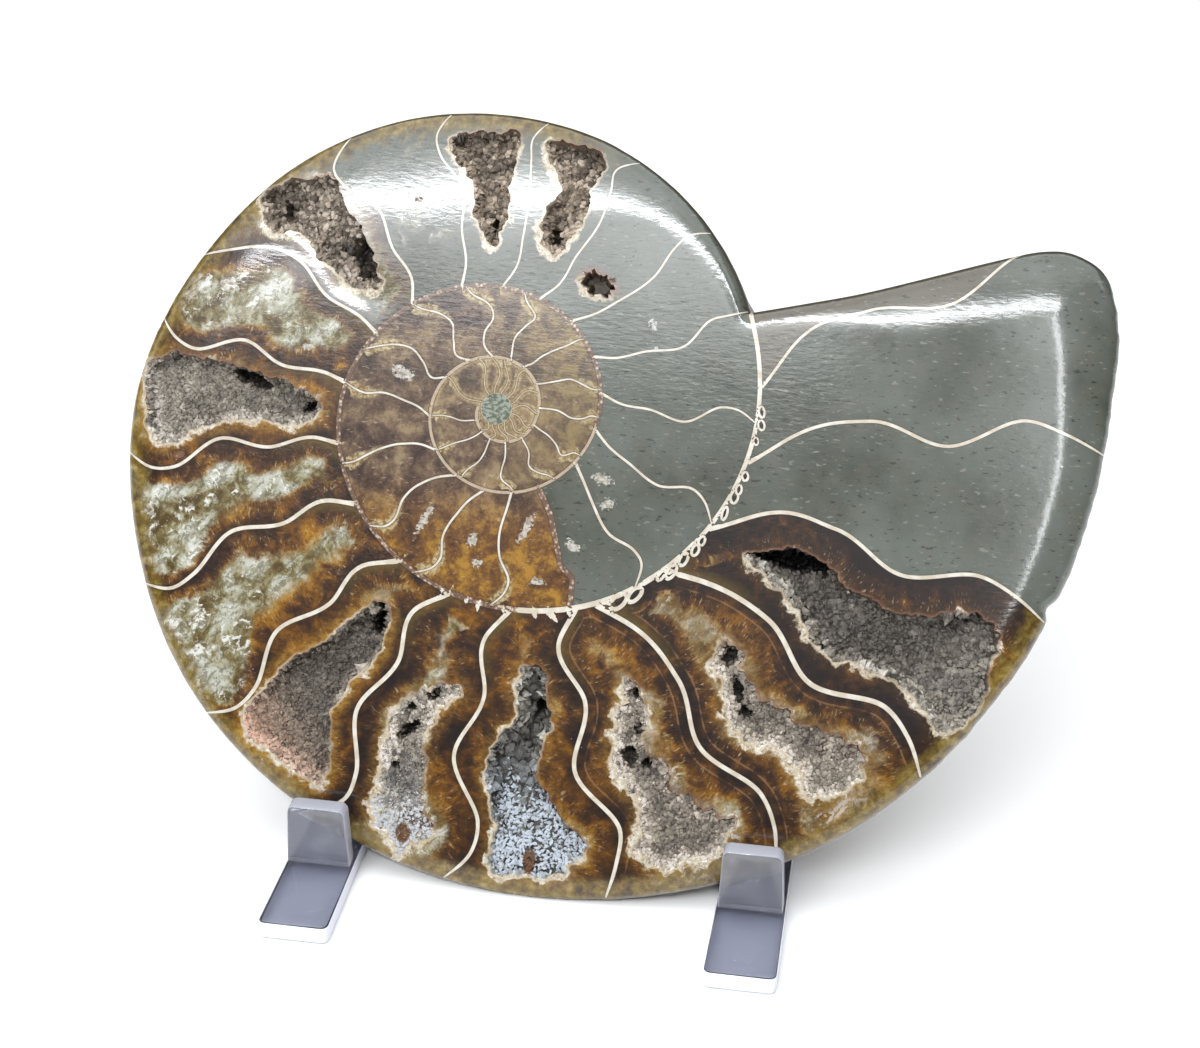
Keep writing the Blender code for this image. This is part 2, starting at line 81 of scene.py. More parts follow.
# Septa, from the last chamber inwards: half width, then growth angles at these shares of the whorl
STATIONS = (0.0, 0.10, 0.32, 0.55, 0.76, 0.87, 1.0)
SEPTA = (
    (0.19, 368.0, 375.5, 378.3, 376.5, 380.0, 380.0, 380.0),
    (0.24, 351.5, 358.0, 361.9, 359.1, 362.5, 361.3, 359.3),
    (0.28, 334.5, 342.0, 344.6, 341.8, 345.0, 344.3, 342.6),
    (0.37, 320.5, 324.3, 326.5, 323.1, 326.8, 325.7, 323.0),
    (0.34, 301.0, 306.0, 308.2, 305.3, 308.8, 308.0, 305.5),
    (0.33, 296.0, 289.5, 291.0, 286.3, 290.5, 288.9, 286.3),
    (0.30, 278.0, 271.6, 271.4, 266.8, 271.3, 270.5, 266.8),
    (0.33, 259.5, 252.2, 252.3, 248.6, 252.5, 252.2, 247.5),
    (0.31, 241.0, 233.8, 232.8, 228.7, 232.5, 232.3, 229.3),
    (0.30, 217.7, 212.2, 211.7, 208.3, 212.0, 212.3, 209.5),
    (0.25, 196.0, 192.8, 193.2, 189.8, 193.8, 193.3, 190.0),
    (0.25, 174.0, 172.2, 172.5, 168.8, 172.7, 171.6, 168.5),
    (0.22, 152.0, 150.4, 150.7, 147.4, 149.5, 153.0, 157.0),
    (0.19, 133.0, 128.1, 127.2, 124.9, 128.8, 128.5, 122.2),
    (0.16, 110.0, 106.5, 105.0, 102.7, 106.8, 106.7, 102.8),
    (0.14, 91.0, 86.5, 84.9, 85.1, 86.0, 86.4, 83.5),
    (0.14, 72.0, 67.5, 65.8, 64.3, 65.8, 67.0, 63.0),
    (0.15, 53.0, 48.5, 44.5, 43.2, 45.3, 45.3, 42.5),
    (0.16, 31.5, 27.3, 24.4, 21.8, 25.9, 25.3, 24.5),
    (0.16, 12.0, 7.0, 3.4, -0.1, 4.1, 3.5, 0.5),
    (0.18, -8.0, -13.3, -18.5, -21.2, -18.1, -19.8, -24.0),
    (0.20, -30.0, -34.0, -40.5, -43.7, -41.5, -42.5, -48.0),
    (0.16, -76.0, -79.0, -84.2, -84.9, -82.0, -83.7, -88.0),
    (0.16, -94.5, -101.0, -107.2, -109.3, -107.0, -108.5, -113.0),
    (0.16, -118.0, -125.0, -131.9, -132.7, -129.3, -130.0, -134.0),
    (0.15, -142.0, -149.5, -156.0, -157.5, -156.7, -156.2, -157.0),
    (0.14, -170.0, -176.0, -181.5, -184.2, -183.0, -184.0, -186.0),
    (0.13, -208.0, -202.0, -208.0, -211.2, -207.5, -204.0, -200.0),
    (0.13, -237.0, -229.7, -233.4, -238.4, -234.0, -229.5, -227.0),
    (0.13, -262.0, -256.5, -256.8, -264.2, -261.0, -254.5, -252.0),
    (0.12, -283.0, -282.0, -281.0, -286.0, -289.0, -283.0, -280.0),
    (0.12, -299.0, -304.0, -307.8, -312.0, -315.4, -316.2, -318.0),
    (0.11, -325.0, -328.0, -332.0, -335.0, -342.0, -345.0, -346.0),
    (0.11, -355.5, -356.0, -358.0, -363.0, -362.5, -360.5, -361.0),
    (0.10, -379.0, -381.0, -383.0, -387.0, -391.0, -385.5, -385.0),
    (0.10, -405.0, -406.0, -409.0, -416.0, -412.0, -408.0, -406.0),
    (0.10, -431.0, -432.5, -436.0, -441.0, -441.5, -436.5, -434.0),
    (0.10, -458.0, -459.5, -461.5, -465.5, -471.5, -473.0, -474.0),
    (0.09, -479.0, -482.0, -489.0, -496.0, -499.5, -500.5, -502.0),
    (0.09, -507.0, -511.0, -517.5, -526.0, -529.5, -530.0, -530.5),
)
FIRST_SEPTA = (-562, -604, -625, -643, -667, -693, -716, -740, -758, -777, -792, -815, -835)  # the smallest
FIRST_SEPTUM_WIDTH = 0.08
CENTRE_SPOT = 2.45  # radius of the first chamber, in mm
SPOT_LINE_WIDTH = 0.12

# What fills the chamber before each septum, from the broken end inwards:
# matrix, spar, brown zone in mm on the earlier and on the later side, warmth, lightness of the brown
CHAMBERS = (
    (1.0, 0.0, 0.8, 0.8, 1.0, 0.1),
    (1.0, 0.0, 0.8, 0.8, 0.3, 0.1),
    (1.0, 0.0, 0.8, 0.8, 0.3, 0.1),
    (0.0, 0.0, 9.0, 9.0, 0.2, 0.0),
    (0.0, 0.2, 5.8, 5.2, 0.5, 0.15),
    (0.0, 0.25, 5.6, 4.8, 0.5, 0.15),
    (0.0, 0.1, 6.0, 5.0, 0.6, 0.15),
    (0.0, 0.4, 5.0, 4.8, 0.5, 0.15),
    (0.0, 0.2, 4.8, 5.6, 0.7, 0.25),
    (0.0, 1.0, 4.8, 3.6, 0.35, 0.45),
    (0.0, 1.0, 4.2, 3.4, 0.25, 0.5),
    (0.0, 0.6, 4.2, 4.6, 0.35, 0.6),
    (0.1, 0.9, 4.0, 3.0, 0.15, 0.6),
    (0.45, 0.8, 2.6, 2.6, 0.15, 0.6),
    (0.62, 0.7, 1.4, 1.4, 0.2, 0.6),
    (0.8, 0.5, 0.8, 0.8, 0.2, 0.6),
    (0.95, 0.3, 0.8, 0.8, 0.3, 0.5),
    (0.95, 0.1, 0.8, 0.8, 0.3, 0.5),
    (1.0, 0.0, 0.8, 0.8, 0.3, 0.5),
    (1.0, 0.0, 0.8, 0.8, 0.3, 0.5),
    (1.0, 0.0, 0.8, 0.8, 0.3, 0.5),
    (1.0, 0.0, 0.8, 0.8, 0.3, 0.5),
)
ECHOED_CHAMBERS = (4, 5)  # where a thin second line follows each septum
ECHO_DISTANCE = 1.5
WALL_ZONE = 3.2  # the brown zone along the coil's wall is no wider
COIL_FILL = (0.0, 0.0, 1.6, 1.6, 0.6, 0.5)
# The brown filling of the coil ends here, in radius and bearing; grey matrix follows
FILL_EDGE = ((14.2, -57.5), (19.0, -58.6), (24.0, -62.0), (27.1, -63.6), (29.7, -61.6), (34.5, -66.0))
FILL_EDGE_WIDTH = 0.4

# Hollows, as in the solids: depth, then (u, v) round the mouth
HOLLOWS = {
    "upper_left": (
        5.0,
        ((-41.0, 32.0), (-37.5, 34.5), (-30.0, 35.0), (-27.5, 31.5), (-23.5, 28.0), (-22.5, 23.5)),
        ((-20.5, 18.0), (-25.0, 18.5), (-30.0, 22.0), (-34.0, 26.5), (-38.5, 26.5), (-41.0, 28.5)),
    ),
    "left": (
        5.0,
        ((-58.0, 4.5), (-47.5, 5.0), (-39.5, 3.0), (-33.5, 1.5), (-29.0, -1.5), (-33.0, -4.5)),
        ((-42.5, -4.5), (-48.5, -6.5), (-54.5, -9.5), (-58.0, -7.0), (-58.5, -1.0)),
    ),
    "top_left": (
        4.2,
        ((-10.0, 43.5), (-1.0, 44.5), (0.5, 42.0), (0.0, 34.0), (-1.0, 28.5)),
        ((-2.0, 26.0), (-4.5, 28.5), (-6.5, 35.5), (-9.5, 39.5)),
    ),
    "top_right": (
        4.2,
        ((5.0, 42.5), (8.0, 43.0), (14.5, 41.0), (13.5, 36.5), (11.5, 30.5)),
        ((8.5, 25.0), (6.0, 26.5), (5.5, 31.0), (7.5, 36.0)),
    ),
    "lower_left": (
        6.0,
        ((-39.0, -53.5), (-35.0, -48.0), (-32.0, -43.5), (-26.0, -39.5), (-23.0, -36.5)),
        ((-18.0, -33.0), (-15.5, -33.0), (-15.5, -36.5), (-17.0, -41.5), (-22.0, -47.0)),
        ((-24.0, -52.0), (-23.5, -59.5), (-26.0, -62.5), (-34.5, -58.0)),
    ),
    "bottom_left": (
        2.8,
        ((-5.5, -44.5), (-3.5, -46.5), (-6.5, -50.0), (-8.0, -54.0), (-8.5, -61.0), (-6.5, -67.0)),
        ((-7.5, -71.5), (-12.0, -71.5), (-15.5, -69.5), (-15.5, -60.0), (-15.0, -53.5), (-11.0, -48.5)),
    ),
    "bottom": (
        5.0,
        ((7.5, -41.0), (10.0, -41.5), (11.5, -45.0), (12.0, -51.0), (10.5, -56.0), (12.0, -60.5)),
        ((16.0, -66.0), (19.5, -69.0), (16.5, -72.5), (14.5, -74.5), (7.0, -75.0), (3.5, -74.0)),
        ((4.0, -68.0), (2.5, -58.5), (3.0, -55.0), (6.0, -49.5), (6.5, -44.5)),
    ),
    "lower_middle": (
        3.2,
        ((24.0, -42.0), (26.5, -43.5), (27.5, -47.0), (28.5, -52.5), (31.5, -56.0), (37.0, -60.5)),
        ((42.0, -63.0), (42.0, -66.5), (38.5, -69.5), (31.0, -71.0), (27.5, -68.5), (27.5, -61.5)),
        ((24.5, -57.5), (22.5, -52.5), (23.0, -47.5)),
    ),
    "lower_right": (
        3.6,
        ((38.0, -34.5), (41.0, -35.5), (43.0, -39.5), (46.0, -42.5), (52.0, -46.5), (60.0, -48.5)),
        ((63.0, -50.5), (63.0, -53.5), (60.5, -56.0), (58.0, -58.0), (55.0, -58.0), (52.0, -55.0)),
        ((48.5, -51.0), (42.0, -49.5), (39.5, -44.0)),
    ),
    "right": (
        6.5,
        ((41.0, -20.5), (49.5, -19.0), (54.5, -21.0), (57.0, -24.0), (62.5, -26.5), (69.5, -28.0)),
        ((77.5, -26.5), (81.5, -29.5), (81.0, -35.0), (80.0, -41.0), (74.5, -46.0), (70.5, -42.0)),
        ((65.5, -38.0), (59.5, -36.5), (54.0, -34.5), (50.0, -28.0), (45.0, -23.5)),
    ),
}
# Hollows almost filled with cut spar: the share of their depth that is left open
SPAR_FLOORS = {"bottom_left": 0.4, "lower_middle": 0.5, "lower_right": 0.45}
# Openings deeper in the hollows, painted black as shade: hollow, u, v, radii along and across, slant in
# degrees, extra depth
DEEP_SPOTS = (
    ("left", -41.5, 2.4, 3.4, 1.3, -20, 4.5),
    ("left", -31.0, -1.6, 1.8, 0.8, 20, 4.0),
    ("lower_left", -16.8, -34.8, 1.7, 3.2, -30, 5.5),
    ("bottom", 10.4, -45.0, 1.5, 3.6, -12, 5.0),
    ("right", 48.7, -20.8, 6.4, 1.6, -8, 6.0),
    ("upper_left", -23.2, 22.0, 2.2, 4.2, 20, 4.0),
    ("upper_left", -37.4, 30.2, 1.0, 1.3, 0, 2.5),
    ("top_left", -2.6, 28.0, 1.0, 2.4, 8, 4.0),
    ("top_right", 7.4, 28.0, 1.0, 2.0, 10, 4.0),
    ("top_right", 6.8, 37.5, 0.8, 1.4, 60, 3.0),
    ("bottom_left", -6.9, -46.6, 1.2, 0.8, 35, 4.5),
    ("bottom_left", -10.9, -52.6, 2.2, 0.9, 40, 4.5),
    ("bottom_left", -10.6, -48.9, 0.9, 0.6, 0, 4.0),
    ("bottom_left", -12.6, -58.5, 0.8, 0.6, 40, 3.0),
    ("lower_middle", 24.9, -44.6, 1.1, 1.8, -30, 4.5),
    ("lower_middle", 25.3, -53.9, 1.3, 1.8, 20, 4.5),
    ("lower_middle", 28.2, -54.6, 1.0, 0.9, 0, 4.5),
    ("lower_middle", 26.5, -49.5, 0.7, 1.2, 0, 3.5),
    ("lower_right", 40.2, -36.6, 1.2, 1.6, -20, 4.5),
    ("lower_right", 41.8, -42.3, 0.9, 2.2, 15, 4.5),
    ("lower_right", 43.2, -45.4, 1.2, 1.0, 0, 4.5),
)
# Brown crystals standing in the hollows: hollow, u, v, radii across and along
PLUGS = (("bottom", 10.1, -72.3, 1.0, 2.3), ("bottom_left", -10.8, -69.6, 1.2, 1.6))
# White needles over the lower part of a hollow: they start at the first v and are thickest at the second
NEEDLES = {"bottom": (-55.0, -66.0), "bottom_left": (-60.0, -74.0)}
NO_NEEDLES = (-200.0, -201.0)  # far below the fossil
COOL_ABOVE = 6.0  # the hollow looks cooler from this far above its needles
# Small pits: u, v, half length, half width, slant in degrees, depth
PITS = (
    (14.9, 20.8, 3.2, 1.9, -20, 2.4),
    (-15.2, 32.8, 0.5, 0.35, 0, 0.6),
    (-52.0, -11.0, 0.5, 0.3, 20, 0.5),
)

# How each hollow looks: tone, warmth, paleness of its edge, raggedness, gold of its edge,
# size of its lumps in mm, share of fine grains between them, unevenness of tone
HOLLOW_LOOKS = {
    "upper_left": (0.66, 0.4, 0.9, 0.9, 0.1, 0.65, 0.25, 0.21),
    "left": (0.62, 0.2, 0.75, 0.8, 0.6, 0.42, 0.8, 0.09),
    "top_left": (0.68, 0.5, 0.9, 0.9, 0.0, 0.65, 0.15, 0.22),
    "top_right": (0.68, 0.5, 0.9, 0.9, 0.0, 0.65, 0.15, 0.22),
    "lower_left": (0.46, 0.3, 0.75, 0.8, 0.9, 0.45, 0.7, 0.08),
    "bottom_left": (0.60, 0.25, 0.8, 1.9, 0.3, 0.5, 0.6, 0.17),
    "bottom": (0.40, 0.0, 0.7, 0.9, 0.25, 1.0, 0.3, 0.10),
    "lower_middle": (0.62, 0.3, 0.85, 1.8, 0.3, 0.5, 0.6, 0.15),
    "lower_right": (0.60, 0.3, 0.8, 1.7, 0.3, 0.5, 0.6, 0.13),
    "right": (0.46, 0.15, 0.65, 0.9, 0.05, 0.6, 0.35, 0.08),
}
PIT_LOOK = (0.42, 0.6, 0.35, 0.8, 0.0)
# The side of each mouth that faces the light: the way from the wall there into the hollow
LIT_WAY = (0.5, 0.87)
# Floors that rise to the face: from (u, v), towards a bearing, over a length, by a share of the depth
SHELVES = {
    "lower_left": (-25.0, -50.0, 215.0, 14.0, 0.85),
    "bottom": (9.0, -60.0, 270.0, 13.0, 0.6),
    "right": (66.0, -32.0, -60.0, 16.0, 0.45),
    "left": (-48.0, 0.0, 200.0, 12.0, 0.35),
}
SHELF_TONE = 0.35
PINK_SHELVES = ("lower_left",)
# White flecks: u, v, half length, half width, slant in degrees
FLECKS = (
    (-15.7, 4.7, 1.9, 1.0, -20),
    (-10.5, -18.5, 2.8, 0.6, 65),
    (-2.5, -21.2, 1.2, 0.7, 60),
    (-1.6, -24.8, 1.0, 0.6, 10),
    (6.1, -18.8, 2.6, 0.6, 65),
    (8.5, -27.1, 1.1, 0.5, 0),
    (17.9, -10.0, 1.6, 0.9, -10),
    (18.9, -13.9, 1.2, 0.8, 20),
    (13.9, -21.1, 1.3, 0.8, -30),
    (-45.7, 17.2, 1.5, 1.1, 10),
    (-31.5, 8.0, 0.9, 0.5, 10),
    (24.4, 14.8, 0.9, 0.5, -60),
    (25.0, 11.2, 0.5, 0.3, -20),
)

# Kinds of drawn line
SEPTUM, WALL, COIL_WALL, GRANULAR_WALL, LACE, TOOTH = range(6)
SEPTUM_END = 0.985  # share of the whorl where the outer septa stop short of the rim
EARLY_PHI = -540  # the smallest whorls' lines are browner up to here
WALL_RUNS = (
    (WALL_START, EARLY_PHI, 0.24, COIL_WALL),
    (EARLY_PHI, -365, 0.22, COIL_WALL),
    (-365, -100, 0.32, GRANULAR_WALL),
    (-100, -80, 0.42, GRANULAR_WALL),
    (-80, -30, 0.42, WALL),
    (-30, NOTCH_PHI, 0.33, WALL),
)
# Folds of shell along the wall's outer side: growth angle, half length, half width, half width of the line
LACE_LOOPS = (
    *((3.0, 0.9, 0.45, 0.16), (0.2, 0.8, 0.5, 0.14), (-3.3, 0.6, 0.4, 0.1), (-11.4, 0.7, 0.5, 0.16)),
    *((-14.1, 0.8, 0.45, 0.16), (-16.5, 1.0, 0.6, 0.18), (-20.1, 1.1, 0.4, 0.18), (-28.6, 0.8, 0.5, 0.18)),
    *((-31.2, 0.9, 0.55, 0.2), (-34.5, 1.1, 0.6, 0.22), (-38.4, 1.3, 0.6, 0.24), (-41.0, 1.0, 0.4, 0.22)),
    *((-49.4, 1.5, 0.75, 0.3), (-53.2, 1.6, 0.9, 0.32)),
)
# Teeth that hang from the wall: growth angle, length, half width, slant in degrees
LACE_TEETH = (
    *((-57.0, 1.6, 0.55, 40), (-71.5, 2.3, 0.75, 25), (-75.6, 1.2, 0.8, 10), (-66.0, 1.3, 0.6, -10)),
    *((-84.0, 0.7, 0.6, 0), (-91.4, 1.4, 0.6, -5), (-95.2, 0.7, 0.5, 0), (-103.0, 0.6, 0.5, 0)),
)

# The polished face: roll-off towards the rim
ROLL_DROP, ROLL_WIDTH = 0.9, 8.0
TOP_ROLL_DROP, TOP_ROLL_WIDTH = 1.9, 24.0
TOP_BEARINGS = (50, 46, 185, 45)  # where the top's wider roll lies: from, within, until, within
LEFT_NARROWING = (4.0, 105, 20)  # it is narrower by this, past a bearing, within so many degrees
NOTCH_ROLL = (30.0, 0.6)  # the roll narrows within this distance of the notch, by this share
CORNER_ROLL = 4.8  # and it widens by this much towards the broken end's upper corner
CORNER_FROM, CORNER_OVER = (46, -6), (44, 38)
EDGE_RADIUS = 1.6
DIP_SEPTUM = 12  # the polish dips beside this septum, which catches the light there
DIP_DROP = (0.26, 0.07)  # how deep at the coil and at the rim
DIP_WIDTH, DIP_RETURN = 3.0, 9.0  # within which width, and where the face is level again

# Mesh steps, in mm
FIELD_STEP = 0.62
LINE_STEP = 0.5
MOUTH_STEP = 0.32
PIT_STEP = 0.28
HOLLOW_STEP = 0.45
OUTLINE_STEP = 0.6
RIM_RINGS = (0.35, 0.75, 1.2, 1.7)
MOUTH_RINGS = (0.25, 0.55, 0.95)
MOUTH_CLEARANCE = 1.1
BACK_STEP = 1.0
BACK_RINGS = (0.12, 0.35)
BACK_CLEARANCE = 0.55
RIM_WALL_SHARES = (0, 0.33, 0.66)  # rings of points down the rim's wall, as shares of its height
# The last whorl's face is cut into three pieces after these numbers of septa, from the broken end
LAST_OF_RIGHT, FIRST_OF_LEFT = 4, 9

# Angles, in degrees, over which an edge of a smooth piece stays sharp
FACE_SHARP = 38.0
BACK_SHARP = 50.0
EASEL_SHARP = 28.0

OUT_OF_FACE = np.array([0, -1, 0])

# Crystals: spacing of the grains and of the points, and rows of points (reach, depth, size)
GRAIN_STEP = 0.46
POINT_STEP = 0.5
POINT_ROWS = ((0.0, 0.5, 0.32), (0.3, 1.1, 0.36), (0.5, 1.9, 0.4), (0.7, 2.8, 0.4))
NEEDLE_STEP = 0.5
NEEDLE_SIZE = (0.3, 0.18, 0.55)

# The easel
EASEL_PARTS = ("foot_left", "foot_right", "lip_left", "lip_right", "back_panel", "rear_leg")
EASEL_BEVEL = 0.35 * MM
ACRYLIC_TINT = (0.61, 0.62, 0.65)
# Looks of the acrylic: name, roughness, share that lets light through
ACRYLIC_LOOKS = (
    ("clear_acrylic", 0.03, 1.0),
    ("scuffed_acrylic", 0.05, 0.86),
    ("sawn_acrylic", 0.3, 0.1),
    ("dull_acrylic", 0.25, 0.6),
)
ACRYLIC_DENSITY = 240.0

# The shell's back, as in the solids
RIM_DEPTH = 5.0
FLANK_HEIGHT = 0.165
UMBILICAL_SEAM = 0.18
FLANK_CREST = 0.40
RIBS_PER_TURN = 36
RIB_HEIGHT = 0.4
RIB_START = 0.5
RIB_SWEEP = 7.0
BREAK_BLEND = 4.0

# Camera: what it looks at on the face, and from where
AIM_UV = (18.0, -17.2)
CAMERA_AZIMUTH = 9.0
CAMERA_ELEVATION = 28.0
CAMERA_DISTANCE = 360.0
CAMERA_LENS = 67.8
CAMERA_ROLL = 0.6

# Soft boxes: name, azimuth, elevation, distance, (width, height) in metres, power
LIGHTS = (
    ("top_box", -11.3, 41, 0.9, (0.66, 0.07), 3.9),
    ("top_glow", -13.0, 38, 0.9, (0.40, 0.28), 2.0),
    ("right_strip", 13.5, 27, 0.9, (0.024, 0.27), 0.5),
    ("right_glow", 11.2, 30, 0.9, (0.08, 0.28), 0.2),
    ("overhead", 0, 90, 2.2, (4.0, 4.0), 105.0),
    ("fill_left", -70, 30, 1.2, (0.5, 0.7), 1.6),
)
LIGHT_COLOUR = (0.95, 0.975, 1.0)
TABLE_HALF, TABLE_GAP = 3.0, 0.0001  # half the table top's width, and its gap below the stand, in m
WORLD_STRENGTH = 0.08
STONE_SHARE = 0.63  # a stone's own colour over the colour that it shows in this light


# ---------------------------------------------------------------- curves and noise


def smooth_through(at, knots, values):
    """A smooth curve through the values at the knots."""
    knots, values = np.asarray(knots, float), np.asarray(values, float)
    slopes = np.gradient(values, knots)
    low = np.clip(np.searchsorted(knots, at, side="right") - 1, 0, len(knots) - 2)
    width = knots[low + 1] - knots[low]
    f = (at - knots[low]) / width
    share = f**2 * (3 - 2 * f)
    rise = slopes[low] * f * (1 - f) ** 2 - slopes[low + 1] * f**2 * (1 - f)
    return values[low] * (1 - share) + values[low + 1] * share + rise * width


LOG_RADII = np.log(np.array(INNER_RADII + LAST_RADII))


def wall_radius(phi):
    return np.exp(smooth_through(np.maximum(np.asarray(phi, float), WALL_START), WALL_PHIS, LOG_RADII))


def from_polar(bearing, radius):
    turn = np.radians(bearing)
    return np.stack([radius * np.cos(turn), radius * np.sin(turn)], axis=-1)


def bearing_of(points):
    return np.degrees(np.arctan2(points[:, 1], points[:, 0]))


def catmull_rom(points, steps):
    curve = []
    for a, b, c, d in zip(points, points[1:], points[2:], points[3:]):
        for f in np.arange(steps) / steps:
            bend, twist = 2 * a - 5 * b + 4 * c - d, 3 * b - a - 3 * c + d
            curve.append(0.5 * (2 * b + (c - a) * f + bend * f**2 + twist * f**3))
    return np.array(curve)


def run_lengths(path):
    return np.concatenate([[0], np.cumsum(np.hypot(*np.diff(path, axis=0).T))])


def spaced(curve, step):
    """The same curve with points at even distances, both ends kept."""
    along = run_lengths(curve)
    even = np.linspace(0, along[-1], max(2, round(along[-1] / step) + 1))
    return np.stack([np.interp(even, along, curve[:, axis]) for axis in (0, 1)], axis=1)


def ease(value):
    value = np.clip(value, 0, 1)
    return value * value * (3 - 2 * value)


def between(value, low, rise, high, fall):
    """One between two values: it eases in after the low one and out before the high one."""
    return ease((value - low) / rise) * ease((high - value) / fall)


def hashed(*cells):
    """Even random numbers from 0 to 1 for whole-numbered cells."""
    mixed = np.zeros(np.broadcast(*cells).shape, np.uint64)
    for cell, prime in zip(cells, (73856093, 19349663, 83492791)):
        mixed = mixed ^ (np.asarray(cell, np.int64).astype(np.uint64) * np.uint64(prime))
    mixed = (mixed ^ (mixed >> np.uint64(15))) * np.uint64(2654435761)
    mixed = (mixed ^ (mixed >> np.uint64(13))) * np.uint64(2246822519)
    return ((mixed ^ (mixed >> np.uint64(16))) % np.uint64(1000003)).astype(float) / 1000003.0


def noise_2d(points, size, seed=0, octaves=3):
    """Smooth noise between -1 and 1 over (u, v) points, with features of that size."""
    total, weight, strength = np.zeros(len(points)), 0.0, 1.0
    for octave in range(octaves):
        place = points / size + 17.3 * octave + seed * 7.1
        cell = np.floor(place).astype(np.int64)
        f = place - cell
        f = f * f * (3 - 2 * f)
        value = np.zeros(len(points))
        for du in (0, 1):
            for dv in (0, 1):
                corner = hashed(cell[:, 0] + du, cell[:, 1] + dv, np.int64(seed + octave))
                value += corner * np.where(du, f[:, 0], 1 - f[:, 0]) * np.where(dv, f[:, 1], 1 - f[:, 1])
        total += strength * (2 * value - 1)
        weight += strength
        strength *= 0.55
        size = size / 2.03
    return total / weight


def ragged(count, seed, amount):
    """Even random numbers about nothing, one for each of so many points."""
    number = np.arange(count)
    return amount * (hashed(number, number * 0 + seed, number * 0) - 0.5)


def name_seed(name):
    return sum(map(ord, name))


class Paths:
    """Lines drawn on the face, and the nearest place on them to any point."""

    def __init__(self, paths, closed=False):
        counts = [len(path) for path in paths]
        self.points = np.concatenate(paths)
        self.place = np.concatenate([run_lengths(path) for path in paths])
        self.owner = np.repeat(np.arange(len(paths)), counts)
        first = np.repeat(np.cumsum([0, *counts[:-1]]), counts)
        number = np.arange(len(self.points)) - first
        size = np.repeat(counts, counts)
        if closed:
            self.before, self.after = first + (number - 1) % size, first + (number + 1) % size
        else:
            self.before = first + np.maximum(number - 1, 0)
            self.after = first + np.minimum(number + 1, size - 1)
        self.tree = kdtree.KDTree(len(self.points))
        for index, (u, v) in enumerate(self.points.tolist()):
            self.tree.insert((u, v, 0.0), index)
        self.tree.balance()

    def nearest(self, points):
        """The index of the nearest drawn point to each point."""
        return np.array([self.tree.find((u, v, 0.0))[1] for u, v in points.tolist()])

    def measure(self, points, index=None):
        """Distance to the lines near each point, how far along the line, and the side that it lies on."""
        index = self.nearest(points) if index is None else index
        distance, along, side = np.full(len(points), np.inf), np.zeros(len(points)), np.zeros(len(points))
        before, after = self.before[index], self.after[index]
        around = (self.before[before], before, index, after, self.after[after])
        for a, b in zip(around, around[1:]):
            run = self.points[b] - self.points[a]
            offset = points - self.points[a]
            length = np.maximum(np.hypot(*run.T), 1e-9)
            share = np.clip((offset * run).sum(axis=1) / length**2, 0, 1)
            gap = np.hypot(*(offset - share[:, None] * run).T)
            closer = gap < distance - 1e-9
            distance = np.where(closer, gap, distance)
            along = np.where(closer, self.place[a] + share * length, along)
            cross = run[:, 0] * offset[:, 1] - run[:, 1] * offset[:, 0]
            side = np.where(closer, np.sign(cross), side)
        return distance, along, side


def inside_loop(points, loop):
    """Whether each point lies inside a closed loop."""
    found = np.zeros(len(points), bool)
    near = np.flatnonzero((points >= loop.min(axis=0)).all(axis=1) & (points <= loop.max(axis=0)).all(axis=1))
    (x0, y0), (x1, y1) = loop.T, np.roll(loop, -1, axis=0).T
    level = y1 == y0
    slope = np.where(level, 0, (x1 - x0) / np.where(level, 1, y1 - y0))
    for part in np.array_split(near, max(1, len(near) // 4000)):
        x, y = points[part, :1], points[part, 1:]
        crossed = ((y0 > y) != (y1 > y)) & (x < x0 + (y - y0) * slope)
        found[part] = crossed.sum(axis=1) % 2 == 1
    return found


def turning(loop):
    """One for a loop that runs anticlockwise, minus one for the other way round."""
    return np.sign((loop[:, 0] * np.roll(loop[:, 1], -1) - np.roll(loop[:, 0], -1) * loop[:, 1]).sum())


def inset(loop, distance):
    """A closed loop moved inwards."""
    run = np.roll(loop, -1, axis=0) - loop
    normal = np.stack([-run[:, 1], run[:, 0]], axis=1) / np.maximum(np.hypot(*run.T), 1e-9)[:, None]
    bisector = (normal + np.roll(normal, 1, axis=0)) * turning(loop)
    bisector /= np.maximum(np.hypot(*bisector.T), 1e-9)[:, None]
    return loop + bisector * distance


def reach_in_ellipse(points, u, v, long, wide, slant=0.0):
    """Each point's distance from (u, v), where the edge of the slanted ellipse is at 1."""
    c, s = math.cos(math.radians(slant)), math.sin(math.radians(slant))
    du, dv = points[:, 0] - u, points[:, 1] - v
    return np.hypot((du * c + dv * s) / long, (-du * s + dv * c) / wide)


def grid_over(loop, step, spread, rng):
    """Loosely spaced points over the box round a loop."""
    low, high = loop.min(axis=0), loop.max(axis=0)
    grid = np.mgrid[low[0] : high[0] : step, low[1] : high[1] : step].reshape(2, -1).T
    return grid + rng.uniform(-spread, spread, grid.shape) * step


# ---------------------------------------------------------------- the lines on the face


